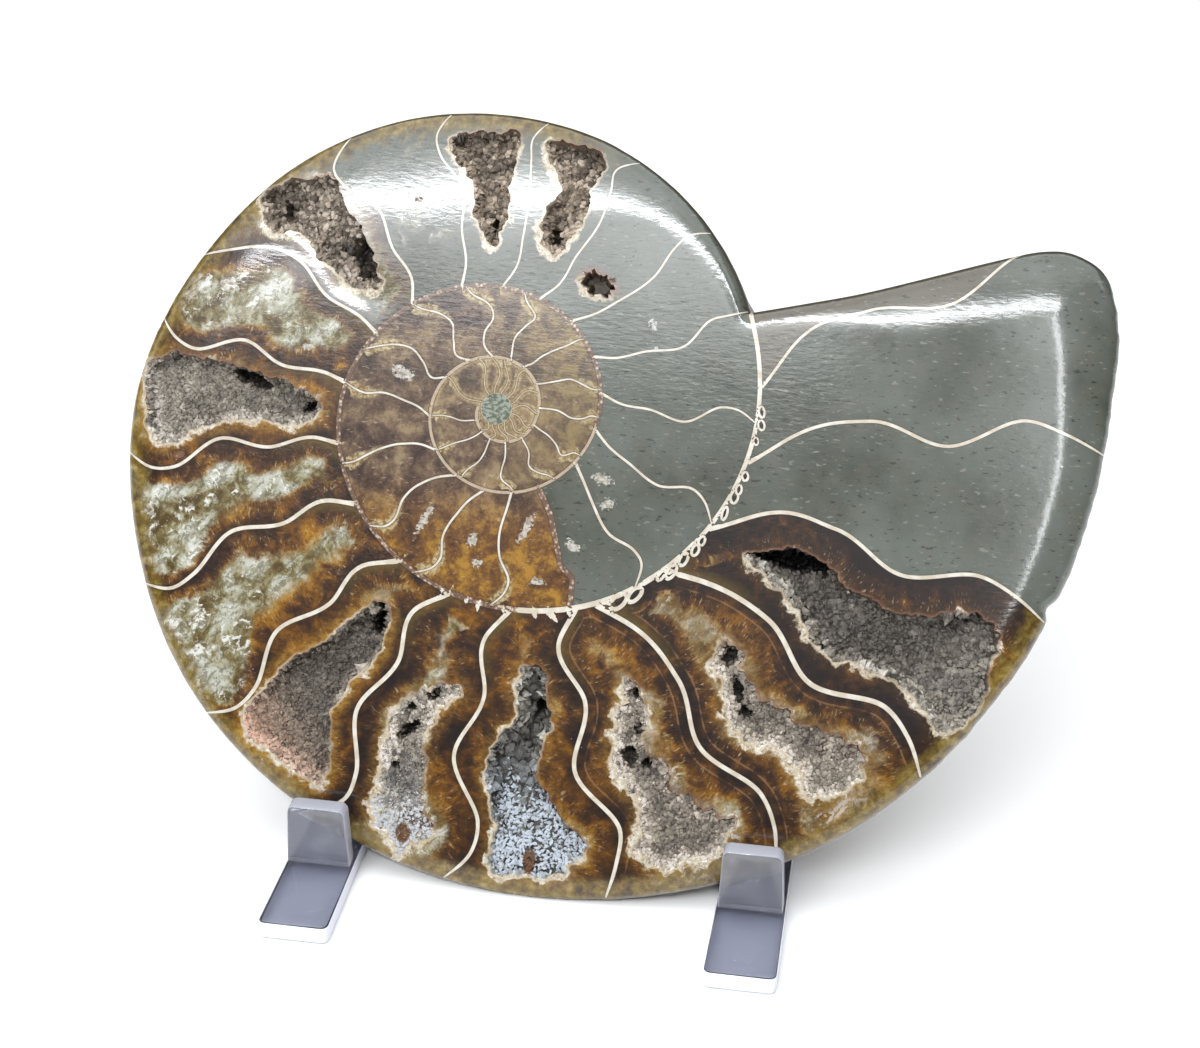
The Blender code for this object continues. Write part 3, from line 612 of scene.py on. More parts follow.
def outline_loop(step, wear):
    """The rim of the face, with its roughness and chips worn in by the share given."""
    shell_phi = np.arange(NOTCH_PHI, SHELL_END_PHI, 0.5)
    shell = from_polar(shell_phi, wall_radius(shell_phi))
    edge = [from_polar(*pair) for pair in BREAK_EDGE]
    broken = catmull_rom([shell[-8], shell[-1], *edge, shell[0], shell[0]], 12)
    loop = np.concatenate([spaced(shell, step)[:-1], spaced(broken, step)[:-1]])
    bearing = bearing_of(loop)
    least, extra = EDGE_ROUGHNESS
    rough = least + extra * ease((bearing + 45) / 20) * ease((17 - bearing) / 4)
    inward = rough * (0.5 + 0.5 * noise_2d(loop, 3.0, 31, 3))
    for u, v, radius, depth in CHIPS:
        inward += depth * np.exp(-(np.hypot(*(loop - (u, v)).T) / radius) ** 2)
    return loop * (1 - wear * inward / np.hypot(*loop.T))[:, None]


OUTLINE = outline_loop(OUTLINE_STEP, 1.0)
RIM = Paths([OUTLINE], closed=True)
UNWORN_RIM = Paths([outline_loop(OUTLINE_STEP, 0.0)], closed=True)
RIM_BEARINGS = np.mod(bearing_of(OUTLINE) - NOTCH_PHI, 360.0)
RIM_BEARINGS[0] = 0.0


def inside_outline(points):
    """Every straight line from the middle of the coil leaves the outline once."""
    bearing = np.mod(bearing_of(points) - NOTCH_PHI, 360.0)
    reach = np.interp(bearing, RIM_BEARINGS, np.hypot(*OUTLINE.T), period=360.0)
    return np.hypot(*points.T) < reach


def outline_grid(step, spread, rng):
    """Loosely spaced points inside the outline, and their distances to the rim."""
    grid = grid_over(OUTLINE, step, spread, rng)
    grid = grid[inside_outline(grid)]
    return grid, RIM.measure(grid)[0]


def inner_radius(phi):
    return np.where(phi - 360 < WALL_START, CENTRE_SPOT, wall_radius(phi - 360))


def whorl_point(phi, share):
    inner = inner_radius(phi)
    return from_polar(phi, inner + share * (wall_radius(phi) - inner))


def septum_phi(septum, share):
    return smooth_through(share, STATIONS, septum[1:])


def septum_path(septum, end):
    share = np.linspace(0.0, end if septum[1] > NOTCH_PHI else 1.0, 160)
    return spaced(whorl_point(septum_phi(septum, share), share), LINE_STEP)


DIP_LINE = Paths([septum_path(SEPTA[DIP_SEPTUM], 1.0)])


def wall_path(low, high):
    phi = np.arange(low, high + 0.1, 0.5)
    return spaced(from_polar(phi, wall_radius(phi)), LINE_STEP)


def even_line(path, width, kind):
    return path, np.full(len(path), width), kind


def drawn_lines():
    """Every line of shell on the polished face: (path, half widths along it, kind)."""
    lines = []
    for number, septum in enumerate(SEPTA):
        path = septum_path(septum, 1.0 if number < 2 else SEPTUM_END)
        taper = np.interp(np.linspace(0, 1, len(path)), *SEPTUM_TAPER)
        lines.append((path, septum[0] * taper, SEPTUM))
    for number, phi in enumerate(FIRST_SEPTA):
        share = np.linspace(0.02, 0.98, 14)
        path = whorl_point(phi + 7 * np.sin(5 * share + number), share)
        lines.append(even_line(path, FIRST_SEPTUM_WIDTH, SEPTUM))
    lines += [even_line(wall_path(low, high), width, kind) for low, high, width, kind in WALL_RUNS]
    fill_edge = np.array([from_polar(bearing, radius) for radius, bearing in FILL_EDGE])
    lines.append(even_line(spaced(fill_edge, LINE_STEP), FILL_EDGE_WIDTH, GRANULAR_WALL))
    spot = from_polar(np.arange(0, 361, 15.0), np.full(25, CENTRE_SPOT))
    lines.append(even_line(spot, SPOT_LINE_WIDTH, COIL_WALL))
    return lines + lace()


def lace():
    """Folds of shell along the outer side of the thick wall: small loops, and solid teeth lower down."""
    lines = []
    for phi, long, across, width in LACE_LOOPS:
        middle = from_polar(phi, wall_radius(phi) + 0.2 + across)
        turn = np.linspace(0, 2 * np.pi, 17)[:, None]
        egg = 1 + 0.25 * np.sin(turn + phi)
        ahead, out = from_polar(phi + 97, 1.0), from_polar(phi, 1.0)
        loop = middle + egg * (long * np.cos(turn) * ahead + across * np.sin(turn) * out)
        lines.append(even_line(loop, width, LACE))
    for phi, length, width, slant in LACE_TEETH:
        way = from_polar(phi + slant, 1.0)
        root = from_polar(phi, wall_radius(phi))
        path = spaced(np.stack([root, root + way * length]), 0.3)
        lines.append((path, width * np.linspace(1, 0.15, len(path)), TOOTH))
    return lines


# ---------------------------------------------------------------- the face's relief


def jagged_mouth(name):
    """A hollow's mouth: the smooth outline of the solid, with the broken edge of its crystals."""
    corners = [np.array(point) for run in HOLLOWS[name][1:] for point in run]
    curve = catmull_rom([corners[-1], *corners, *corners[:2]], 10)
    curve = spaced(np.concatenate([curve, curve[:1]]), MOUTH_STEP)[:-1]
    seed = name_seed(name)
    ahead = np.roll(curve, -2, axis=0) - np.roll(curve, 2, axis=0)
    normal = np.stack([ahead[:, 1], -ahead[:, 0]], axis=1) / np.hypot(*ahead.T)[:, None]
    raggedness = HOLLOW_LOOKS[name][3]
    wander = 0.9 * noise_2d(curve, 2.6, seed, 2) + 0.55 * noise_2d(curve, 0.9, seed + 1, 2)
    return curve + normal * (raggedness * (wander + ragged(len(curve), seed, 0.22)))[:, None]


def pit_mouth(pit, seed):
    u, v, long, wide, slant, _ = pit
    turn = np.linspace(0, 2 * np.pi, max(12, int(2 * np.pi * long / PIT_STEP)), endpoint=False)
    reach = 1 + ragged(len(turn), seed, 0.55)
    a, b = long * np.cos(turn) * reach, wide * np.sin(turn) * reach
    c, s = math.cos(math.radians(slant)), math.sin(math.radians(slant))
    return np.stack([u + a * c - b * s, v + a * s + b * c], axis=1)


MOUTHS = {name: jagged_mouth(name) for name in HOLLOWS}
PIT_MOUTHS = [pit_mouth(pit, number) for number, pit in enumerate(PITS)]
EDGES = Paths([*MOUTHS.values(), *PIT_MOUTHS], closed=True)


def mouth_grid(mouth, step, spread, rng):
    """Loosely spaced points inside a mouth, and their distances to its edge."""
    grid = grid_over(mouth, step, spread, rng)
    grid = grid[inside_loop(grid, mouth)]
    return grid, EDGES.measure(grid)[0]


def mouth_lighting():
    """For each point round the mouths, how squarely the wall there faces the light, 0 to 1."""
    before, after = EDGES.before, EDGES.after
    for _ in range(5):
        before, after = EDGES.before[before], EDGES.after[after]
    run = EDGES.points[after] - EDGES.points[before]
    way = np.array([turning(loop) for loop in [*MOUTHS.values(), *PIT_MOUTHS]])[EDGES.owner]
    inward = np.stack([-run[:, 1], run[:, 0]], axis=1) * (way / np.maximum(np.hypot(*run.T), 1e-9))[:, None]
    return 0.5 + 0.5 * inward @ np.array(LIT_WAY)


EDGE_LIT = mouth_lighting()


def dip_depth(points):
    """How far the polish has dipped beside one septum, on the side of the upper left hollow."""
    gap, along, side = DIP_LINE.measure(points)
    beyond = -side * gap
    length = DIP_LINE.place[-1]
    drop = np.interp(along / length, (0.3, 1), DIP_DROP) * ease(along / 6) * ease((length - along) / 2)
    return drop * ease(beyond / DIP_WIDTH) * ease((DIP_RETURN - beyond) / (DIP_RETURN - DIP_WIDTH))


def roll_depth(points, distance):
    """How far the polished face has dropped, from a point's distance to the rim."""
    bearing = np.mod(bearing_of(points) + 90, 360) - 90
    top = between(bearing, *TOP_BEARINGS)
    narrowing, left_from, left_over = LEFT_NARROWING
    narrower = narrowing * ease((bearing - left_from) / left_over) * top
    width = ROLL_WIDTH + (TOP_ROLL_WIDTH - ROLL_WIDTH) * top - narrower
    drop = ROLL_DROP + (TOP_ROLL_DROP - ROLL_DROP) * top
    near_notch = 1 - NOTCH_ROLL[1] * ease(1 - np.hypot(*(points - OUTLINE[0]).T) / NOTCH_ROLL[0])
    corner = ease((points - CORNER_FROM) / CORNER_OVER).prod(axis=1)
    wider = near_notch * (width + CORNER_ROLL * corner) / width
    width, drop = width * wider, drop * wider
    near = np.clip(1 - distance / EDGE_RADIUS, 0, 1)
    unworn = UNWORN_RIM.measure(points)[0]
    rolled = drop * np.clip(1 - unworn / width, 0, 1) ** 2 + EDGE_RADIUS * (1 - np.sqrt(1 - near**2))
    return rolled + dip_depth(points)


def polish_level(points):
    return roll_depth(points, RIM.measure(points)[0])


def shelf_share(name, points):
    """How far a hollow's floor has risen to the face at each point, as a share of its depth."""
    if name not in SHELVES:
        return np.zeros(len(points))
    u, v, bearing, length, share = SHELVES[name]
    step = (points - (u, v)) @ from_polar(bearing, 1.0)
    return share * ease(step / length)


def hollow_depth(name, points, distance):
    """Depth below the polished face inside a hollow, from the distance to its mouth."""
    depth = HOLLOWS[name][0] * SPAR_FLOORS.get(name, 1.0)
    seed = name_seed(name)
    floor = depth * (0.84 + 0.22 * noise_2d(points, 6.0, seed + 3, 2)) - 0.45
    floor += 0.45 * noise_2d(points, 1.5, seed + 4, 3)
    reach = 0.8 + 0.6 * noise_2d(points, 2.5, seed + 5, 2)
    well = floor * ease(distance / reach) ** 0.8
    well *= 1 - shelf_share(name, points)
    for spot_name, u, v, long, wide, slant, extra in DEEP_SPOTS:
        if spot_name == name:
            place = reach_in_ellipse(points, u, v, long, wide, slant)
            place += 0.3 * noise_2d(points, 0.9, seed + 6, 2)
            well += extra * ease((1.25 - place) / 0.5) * ease(distance / 0.5)
    return np.maximum(well, 0)


# ---------------------------------------------------------------- the face's mesh


def face_mesh(lines):
    """Points (u, v) and triangles of the whole polished face."""
    parts, edges, count = [], [], 0

    def add_path(path, closed):
        nonlocal count
        numbers = list(range(count, count + len(path)))
        parts.append(path)
        edges.extend(zip(numbers, numbers[1:] + numbers[:1]) if closed else zip(numbers, numbers[1:]))
        count += len(path)

    for loop in (OUTLINE, *MOUTHS.values(), *PIT_MOUTHS):
        add_path(loop, True)
    for path, _, kind in lines:
        add_path(path[:-1] if kind == LACE else path, kind == LACE)
    rng = np.random.default_rng(SEED)
    grid, rim = outline_grid(FIELD_STEP, 0.3, rng)
    parts.append(grid[rim > 0.4 * OUTLINE_STEP])
    for inward in RIM_RINGS:
        parts.append(inset(OUTLINE, inward))
    for mouth in MOUTHS.values():
        for inward in MOUTH_RINGS:
            ring = inset(mouth, inward)
            parts.append(ring[(EDGES.measure(ring)[0] > 0.8 * inward) & inside_loop(ring, mouth)])
        grid, gap = mouth_grid(mouth, HOLLOW_STEP, 0.3, rng)
        parts.append(grid[gap > MOUTH_CLEARANCE])
    return triangulated(np.concatenate(parts), edges)


def triangulated(points, edges):
    result = geometry.delaunay_2d_cdt([Vector(point) for point in points.tolist()], edges, [], 0, 1e-4)
    points = np.array([(point[0], point[1]) for point in result[0]])
    faces = np.array(result[2])
    return points, faces[inside_outline(points[faces].mean(axis=1))]


def face_relief(points):
    """For each point: the depth w, the part of it below the polish, and the distances to rim and mouth."""
    rim = RIM.measure(points)[0]
    gap = EDGES.measure(points)[0]
    well = np.zeros(len(points))
    for name, mouth in MOUTHS.items():
        inner = inside_loop(points, mouth) & (gap > 1e-3)
        well[inner] = hollow_depth(name, points[inner], gap[inner])
    for pit, mouth in zip(PITS, PIT_MOUTHS):
        inner = inside_loop(points, mouth) & (gap > 1e-3)
        well[inner] = pit[-1] * ease(gap[inner] / 0.45)
    return roll_depth(points, rim) + well, well, gap, rim


def growth_place(points):
    """Growth angle and share of the whorl at each point."""
    radius = np.hypot(*points.T)
    bearing = bearing_of(points)
    phi = np.where(bearing < NOTCH_PHI, bearing + 360, bearing)
    for _ in range(3):
        phi = np.where(radius < inner_radius(phi), phi - 360, phi)
    inner = inner_radius(phi)
    return phi, (radius - inner) / np.maximum(wall_radius(phi) - inner, 0.1)


def chamber_of(phi, share):
    """Number of septa passed, counted from the broken end inwards."""
    passed = np.zeros(len(phi), int)
    for septum in SEPTA:
        passed += phi < septum_phi(septum, np.clip(share, 0, 1))
    for first in FIRST_SEPTA:
        passed += phi < first
    return passed


def chamber_share(phi, share, chamber):
    """How far each point has come from the earlier septum of its chamber to the later one, 0 to 1."""
    bounds = np.array([septum_phi(septum, np.clip(share, 0, 1)) for septum in SEPTA])
    bounds = np.vstack([np.full((1, len(phi)), 400.0), bounds, np.full((1, len(phi)), WALL_START)])
    number = np.minimum(chamber, len(SEPTA))
    later, earlier = np.take_along_axis(bounds, np.array([number, number + 1]), axis=0)
    return np.clip((phi - earlier) / np.maximum(later - earlier, 0.1), 0, 1)


def hollow_look(centres):
    """Tone, warmth, paleness and gold of the hollow nearest to each point, with paleness and gold raised
    where the wall faces the light as painted light.
    """
    nearest = EDGES.nearest(centres)
    looks = np.array([*(look[:5] for look in HOLLOW_LOOKS.values()), *([PIT_LOOK] * len(PITS))])
    tone, warm, pale, _, gold = looks[EDGES.owner[nearest]].T
    # Painted light and shade: edges are paler and more golden where the mouth's wall faces the light, browner
    # where it faces away.
    return tone, warm, pale * (0.25 + 1.1 * EDGE_LIT[nearest]), gold * (0.4 + 0.8 * EDGE_LIT[nearest])


def inside_holes(centres, index, drawn):
    """Whether each point lies inside the fold of shell that it is nearest to."""
    held = np.zeros(len(centres), bool)
    for number in range(drawn.owner[-1] + 1):
        loop = drawn.points[drawn.owner == number]
        near = drawn.owner[index] == number
        if np.allclose(loop[0], loop[-1]) and len(loop) < 30:
            held[near] = inside_loop(centres[near], loop[:-1])
    return held


def face_fields(points, faces, lines):
    """Everything the colours depend on, for each triangle and each of its corners."""
    corners = points[faces]
    centres = corners.mean(axis=1)
    drawn = Paths([path for path, _, _ in lines])
    index = drawn.nearest(centres)
    width = np.concatenate([widths for _, widths, _ in lines])[index]
    kind = np.array([kind for _, _, kind in lines])[drawn.owner[index]]
    distance, place, _ = drawn.measure(corners.reshape(-1, 2), np.repeat(index, 3))
    edge = distance.reshape(-1, 3) - width[:, None]
    along = place.reshape(-1, 3) + 37.0 * drawn.owner[index][:, None]
    phi, share = growth_place(centres)
    chamber = chamber_of(phi, share)
    fills = np.array([*CHAMBERS, COIL_FILL])
    fill = fills[np.minimum(chamber, len(CHAMBERS))]
    in_coil = chamber >= len(CHAMBERS)
    matrix = np.where(in_coil, phi > np.interp(np.hypot(*centres.T), *np.transpose(FILL_EDGE)), fill[:, 0])
    across = chamber_share(phi, share, chamber)
    zone = fill[:, 2] + (fill[:, 3] - fill[:, 2]) * ease(across)
    zone = np.where(kind != SEPTUM, np.minimum(zone, WALL_ZONE), zone)
    # Paleness and gold here include painted light on the walls that face the light.
    tone, warm, pale, gold = hollow_look(centres)
    fleck = np.zeros(len(centres))
    for place in FLECKS:
        fleck = np.maximum(fleck, 1.5 - reach_in_ellipse(centres, *place))
    return {
        "edge": edge,
        "along": along,
        "kind": kind,
        "spar": fill[:, 1],
        "warmth": fill[:, 4],
        "light": fill[:, 5],
        "later": 1 - ease(across / 0.45),
        "grown": np.abs(2 * across - 1),
        "clean": ease((centres[:, 0] - 6) / 14),
        "zone": zone,
        "matrix": matrix,
        "amber": in_coil * ease((-10 - centres[:, 1]) / 12),
        "share": share,
        "spot": np.hypot(*centres.T) < CENTRE_SPOT,
        "early": phi < EARLY_PHI,
        "tone": tone,
        "warm": warm,
        "pale": pale,
        "gold": gold,
        "fleck": fleck,
        "echo": np.isin(chamber, ECHOED_CHAMBERS),
        # The coil's upper right, towards the lights, where it is painted lighter.
        "sunward": ease((centres[:, 0] + 4) / 16) * ease((centres[:, 1] + 16) / 8),
        "hole": inside_holes(centres, index, drawn),
        "cell": hashed(chamber, chamber * 0 + 3, chamber * 0),
    }, phi, chamber


# ---------------------------------------------------------------- making objects


def stood_up(points):
    """From the face frame (u, w, v) in mm to the row frame in metres, with the underside worn level."""
    place = Matrix.Translation(COIL_MIDDLE) @ Matrix.Rotation(-LEAN, 4, "X") @ Matrix.Rotation(TURN, 4, "Y")
    place = np.array(place)
    stood = points @ place[:3, :3].T + place[:3, 3]
    lift = np.maximum(0.0, UNDERSIDE_Z - stood[:, 2]) / math.cos(LEAN)
    return (stood + lift[:, None] * np.array([0, math.sin(LEAN), math.cos(LEAN)])) * MM


def on_face(flat, depth):
    """Points of the face frame (u, w, v) from their place on the face and their depth."""
    return np.column_stack([flat[:, 0], depth, flat[:, 1]])


def add_object(name, data):
    made = bpy.data.objects.new(name, data)
    bpy.context.scene.collection.objects.link(made)
    return made


def add_piece(name, mesh, node):
    """A visible piece of the object, in place of a node of the solids."""
    piece = add_object(name, mesh)
    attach(piece, "root")
    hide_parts(node)


def make_piece(name, points, faces, look, node, sharp=None):
    """A piece from points in metres and triangles; flat-shaded unless given the angle of a sharp edge."""
    mesh = bpy.data.meshes.new(name)
    mesh.vertices.add(len(points))
    mesh.vertices.foreach_set("co", points.astype(np.float32).ravel())
    mesh.loops.add(faces.size)
    mesh.loops.foreach_set("vertex_index", faces.astype(np.int32).ravel())
    mesh.polygons.add(len(faces))
    mesh.polygons.foreach_set("loop_start", np.arange(0, faces.size, 3, dtype=np.int32))
    mesh.polygons.foreach_set("loop_total", np.full(len(faces), 3, np.int32))
    mesh.update(calc_edges=True)
    if sharp is None:
        mesh.shade_flat()
    else:
        mesh.shade_smooth()
        mesh.set_sharp_from_angle(angle=math.radians(sharp))
    mesh.materials.append(look)
    add_piece(name, mesh, node)
    return mesh


def add_field(mesh, name, values, domain):
    field = mesh.attributes.new(name, "FLOAT", domain)
    field.data.foreach_set("value", np.ascontiguousarray(values, np.float32).ravel())


def add_flat_uv(mesh, flat):
    """A UV map straight off the polished face, for the export's bake."""
    low, high = flat.min(axis=0), flat.max(axis=0)
    scaled = (flat - low) / (high - low).max() * 0.98 + 0.01
    corners = np.empty(len(mesh.loops), np.int32)
    mesh.loops.foreach_get("vertex_index", corners)
    layer = mesh.uv_layers.new(name="OFBake")
    layer.data.foreach_set("uv", scaled[corners].astype(np.float32).ravel())


def make_face(coil_look, whorl_look):
    """The polished face, in four pieces so that each keeps its detail in the export."""
    lines = drawn_lines()
    points, faces = face_mesh(lines)
    depth, well, mouth, rim = face_relief(points)
    fields, phi, chamber = face_fields(points, faces, lines)
    stood = stood_up(on_face(points, depth))
    in_coil = phi < NOTCH_PHI
    left = ~in_coil & (chamber >= FIRST_OF_LEFT)
    right = ~in_coil & (chamber <= LAST_OF_RIGHT)
    parts = {
        "ammonite_coil": in_coil,
        "ammonite_left": left,
        "ammonite_bottom": ~in_coil & ~left & ~right,
        "ammonite_right": right,
    }
    for name, chosen in parts.items():
        used, numbers = np.unique(faces[chosen], return_inverse=True)
        look = coil_look if name == "ammonite_coil" else whorl_look
        triangles = numbers.reshape(-1, 3)
        mesh = make_piece(name, stood[used], triangles, look, "ammonite_half", FACE_SHARP)
        for key, values in (("rim", rim), ("well", well), ("mouth", mouth)):
            add_field(mesh, key, values[used], "POINT")
        for key, values in fields.items():
            add_field(mesh, key, values[chosen], "CORNER" if values.ndim == 2 else "FACE")
        add_flat_uv(mesh, points[used])
        print(name, len(triangles), "triangles")


# ---------------------------------------------------------------- the shell's back


def flank(phi, radius):
    whorl = wall_radius(phi)
    share = radius / whorl
    outer = np.clip((share - FLANK_CREST) / (1 - FLANK_CREST), 0, 1)
    inner = np.clip((FLANK_CREST - share) / (FLANK_CREST - UMBILICAL_SEAM), 0, 1)
    shape = (1 - outer**2.4) ** 0.55 * (1 - inner**2.5)
    sweep = RIB_SWEEP * np.sin(2 * np.pi * (share - RIB_START))
    ribs = np.cos(np.radians(RIBS_PER_TURN * (phi + sweep)))
    strength = np.clip((share - RIB_START) / 0.2, 0, 1) * np.clip((1 - share) / 0.08, 0, 1)
    return FLANK_HEIGHT * whorl * shape + RIB_HEIGHT * (whorl / 100) * strength * ribs


def back_depth(points):
    radius = np.hypot(*points.T)
    bearing = bearing_of(points)
    last = np.where(bearing < NOTCH_PHI, bearing + 360, bearing)
    inner = np.maximum(flank(last - 360, radius), flank(last - 720, radius))
    inner = np.maximum(inner, 0.12 * np.clip(8 - radius, 0, 8))
    height = np.maximum(flank(last, radius), inner)
    past_break = np.clip((last - NOTCH_PHI) / BREAK_BLEND, 0, 1)
    whorl_end = np.maximum(flank(last + 360 * (past_break < 1), radius), height)
    mix = ease(past_break)
    return RIM_DEPTH + np.where(past_break < 1, whorl_end * (1 - mix) + height * mix, height)


def make_back(look):
    """The rim's wall and the domed, ribbed outside behind it."""
    rng = np.random.default_rng(SEED + 1)
    grid, rim = outline_grid(BACK_STEP, 0.25, rng)
    grid = grid[rim > BACK_CLEARANCE]
    count = len(OUTLINE)
    numbers = list(range(count))
    flat = np.concatenate([OUTLINE, *(inset(OUTLINE, inward) for inward in BACK_RINGS), grid])
    points, faces = triangulated(flat, list(zip(numbers, numbers[1:] + numbers[:1])))
    rim = RIM.measure(points)[0]
    rough = 0.12 * noise_2d(points, 5.0, 21, 3) + 0.05 * noise_2d(points, 0.9, 22, 2)
    depth = back_depth(points) + rough * ease(rim / 2.0)
    depth[:count] = RIM_DEPTH
    top = roll_depth(OUTLINE, np.zeros(count))
    rings = [on_face(OUTLINE, top * (1 - share) + RIM_DEPTH * share) for share in RIM_WALL_SHARES]
    here, after = np.arange(count), np.roll(np.arange(count), -1)
    strips = []
    for ring in range(len(rings)):
        a, b = ring * count + here, ring * count + after
        strips += [np.column_stack([a, a + count, b]), np.column_stack([b, a + count, b + count])]
    domed = faces[:, ::-1] + count * len(rings)
    body = np.concatenate([*rings, on_face(points, depth)])
    triangles = np.concatenate([*strips, domed])
    mesh = make_piece("ammonite_back", stood_up(body), triangles, look, "ammonite_half", BACK_SHARP)
    add_field(mesh, "rim", np.concatenate([np.zeros(count * len(rings)), rim]), "POINT")
    spiral, share = growth_place(body[:, [0, 2]])
    add_field(mesh, "phi", spiral, "POINT")
    add_field(mesh, "share", share, "POINT")


# ---------------------------------------------------------------- crystals in the hollows


def joined_rings(sides, rings):
    """Triangles between rings of points, one above the other, and up to a last point on top."""
    faces = []
    for k in range(sides):
        after = (k + 1) % sides
        for low in range(0, sides * (rings - 1), sides):
            high = low + sides
            faces += [(low + k, low + after, high + k), (low + after, high + after, high + k)]
        last = sides * (rings - 1)
        faces.append((last + k, last + after, last + sides))
    return np.array(faces)


def crystal_shape(sides, point):
    """One crystal along +Z: a short prism with a pointed end. Returns its points and triangles."""
    turn = np.arange(sides) * 2 * np.pi / sides
    ring = np.stack([np.cos(turn), np.sin(turn), np.zeros(sides)], axis=1)
    base = np.concatenate([ring * (0.8, 0.8, 1) - (0, 0, 0.6), ring + (0, 0, 0.2), [[0, 0, point]]])
    return base, joined_rings(sides, 2)


def lump_shape(sides):
    """A rounded lump with flat facets, open underneath where it sits in the floor."""
    turn = np.arange(sides) * 2 * np.pi / sides
    rings = []
    for lift, twist in ((-40, 0.0), (10, 0.5), (48, 0.0)):
        angle, lift = turn + twist * 2 * np.pi / sides, math.radians(lift)
        flat, height = math.cos(lift), np.full(sides, math.sin(lift))
        rings.append(np.column_stack([flat * np.cos(angle), flat * np.sin(angle), height]))
    return np.concatenate([*rings, [[0, 0, 0.98]]]), joined_rings(sides, 3)


def turned_to(direction, spin):
    """Rotation matrices that take +Z to each direction, after a spin about it."""
    z = direction / np.linalg.norm(direction, axis=1)[:, None]
    helper = np.where(np.abs(z[:, :1]) > 0.9, np.array([[0.0, 1.0, 0.0]]), np.array([[1.0, 0.0, 0.0]]))
    x = np.cross(helper, z)
    x /= np.linalg.norm(x, axis=1)[:, None]
    y = np.cross(z, x)
    c, s = np.cos(spin)[:, None], np.sin(spin)[:, None]
    return np.stack([x * c + y * s, y * c - x * s, z], axis=2)


def scattered(rng, places, directions, sizes, shape, tones, spread=0.25):
    """Crystals of one shape at many places: points, triangles and the tone of each triangle."""
    base, faces = shape
    count = len(places)
    block = base[None] * (1 + rng.uniform(-spread, spread, (count, len(base), 3))) * sizes[:, None, :]
    turned = np.einsum("nij,nkj->nki", turned_to(directions, rng.uniform(0, 2 * np.pi, count)), block)
    numbers = faces[None] + np.arange(count)[:, None, None] * len(base)
    return (turned + places[:, None, :]).reshape(-1, 3), numbers.reshape(-1, 3), np.repeat(tones, len(faces))


def uneven_sizes(rng, count, whole, each, size=1.0):
    """Random sizes: one range for the whole crystal, another for each of its three directions."""
    return size * rng.uniform(*whole, (count, 1)) * rng.uniform(*each, (count, 3))


def floor_crystals(name, rng):
    """Lumps over the floor and walls of a hollow, with finer grains between them."""
    mouth, seed = MOUTHS[name], name_seed(name)
    tone, _, pale, _, _, lump, grains, uneven = HOLLOW_LOOKS[name]
    parts = []
    for step, share in ((lump * 1.1, 1.0), (GRAIN_STEP, grains)):
        grid, gap = mouth_grid(mouth, step, 0.45, rng)
        low = 0.35 if step < lump else 0.5 * lump
        patchy = 0.5 + 0.5 * noise_2d(grid, 2.4, seed + 8, 2)
        wanted = (patchy < share + rng.uniform(-0.3, 0.3, len(grid))) | (share == 1.0)
        keep = (gap > low) & wanted
        grid, gap = grid[keep], gap[keep]
        well = hollow_depth(name, grid, gap)
        level = polish_level(grid) + well
        clump = noise_2d(grid, 1.6, seed + 9, 2)
        # Painted shade: crystals deeper than the hollow's own depth are darker.
        deep = np.clip((well - HOLLOWS[name][0]) / 3, 0, 0.45)
        # Painted light: crystals near a mouth wall that faces the light are paler.
        painted_edge_light = pale * EDGE_LIT[EDGES.nearest(grid)] * ease((2.2 - gap) / 1.8)
        tones = tone + SHELF_TONE * shelf_share(name, grid) - deep + 0.5 * painted_edge_light
        if name in NEEDLES:
            tones += 0.3 * ease((NEEDLES[name][0] - grid[:, 1]) / 10)
        tones += uneven * (clump + noise_2d(grid, 5.0, seed + 10, 2)) + rng.normal(0, 0.7 * uneven, len(grid))
        if step < lump:
            tones += pale * (rng.uniform(0, 1, len(grid)) < 0.03) * 0.35
            directions = OUT_OF_FACE + rng.normal(0, 0.45, (len(grid), 3))
            sizes = uneven_sizes(rng, len(grid), (0.2, 0.38), (0.7, 1.3))
            places = on_face(grid, level - 0.15 - 0.2 * clump)
            parts.append(scattered(rng, places, directions, sizes, crystal_shape(5, 0.7), tones))
        else:
            directions = OUT_OF_FACE + rng.normal(0, 0.3, (len(grid), 3))
            size = np.full(len(grid), lump)
            if name in NEEDLES:
                size *= 1 - 0.6 * ease((NEEDLES[name][0] - grid[:, 1]) / 10)
            sizes = uneven_sizes(rng, len(grid), (0.4, 1.3), (0.5, 1.3), size[:, None])
            places = on_face(grid, level - 0.15 * size * (1 + 1.5 * clump))
            parts.append(scattered(rng, places, directions, sizes, lump_shape(5), tones, 0.24))
    return parts


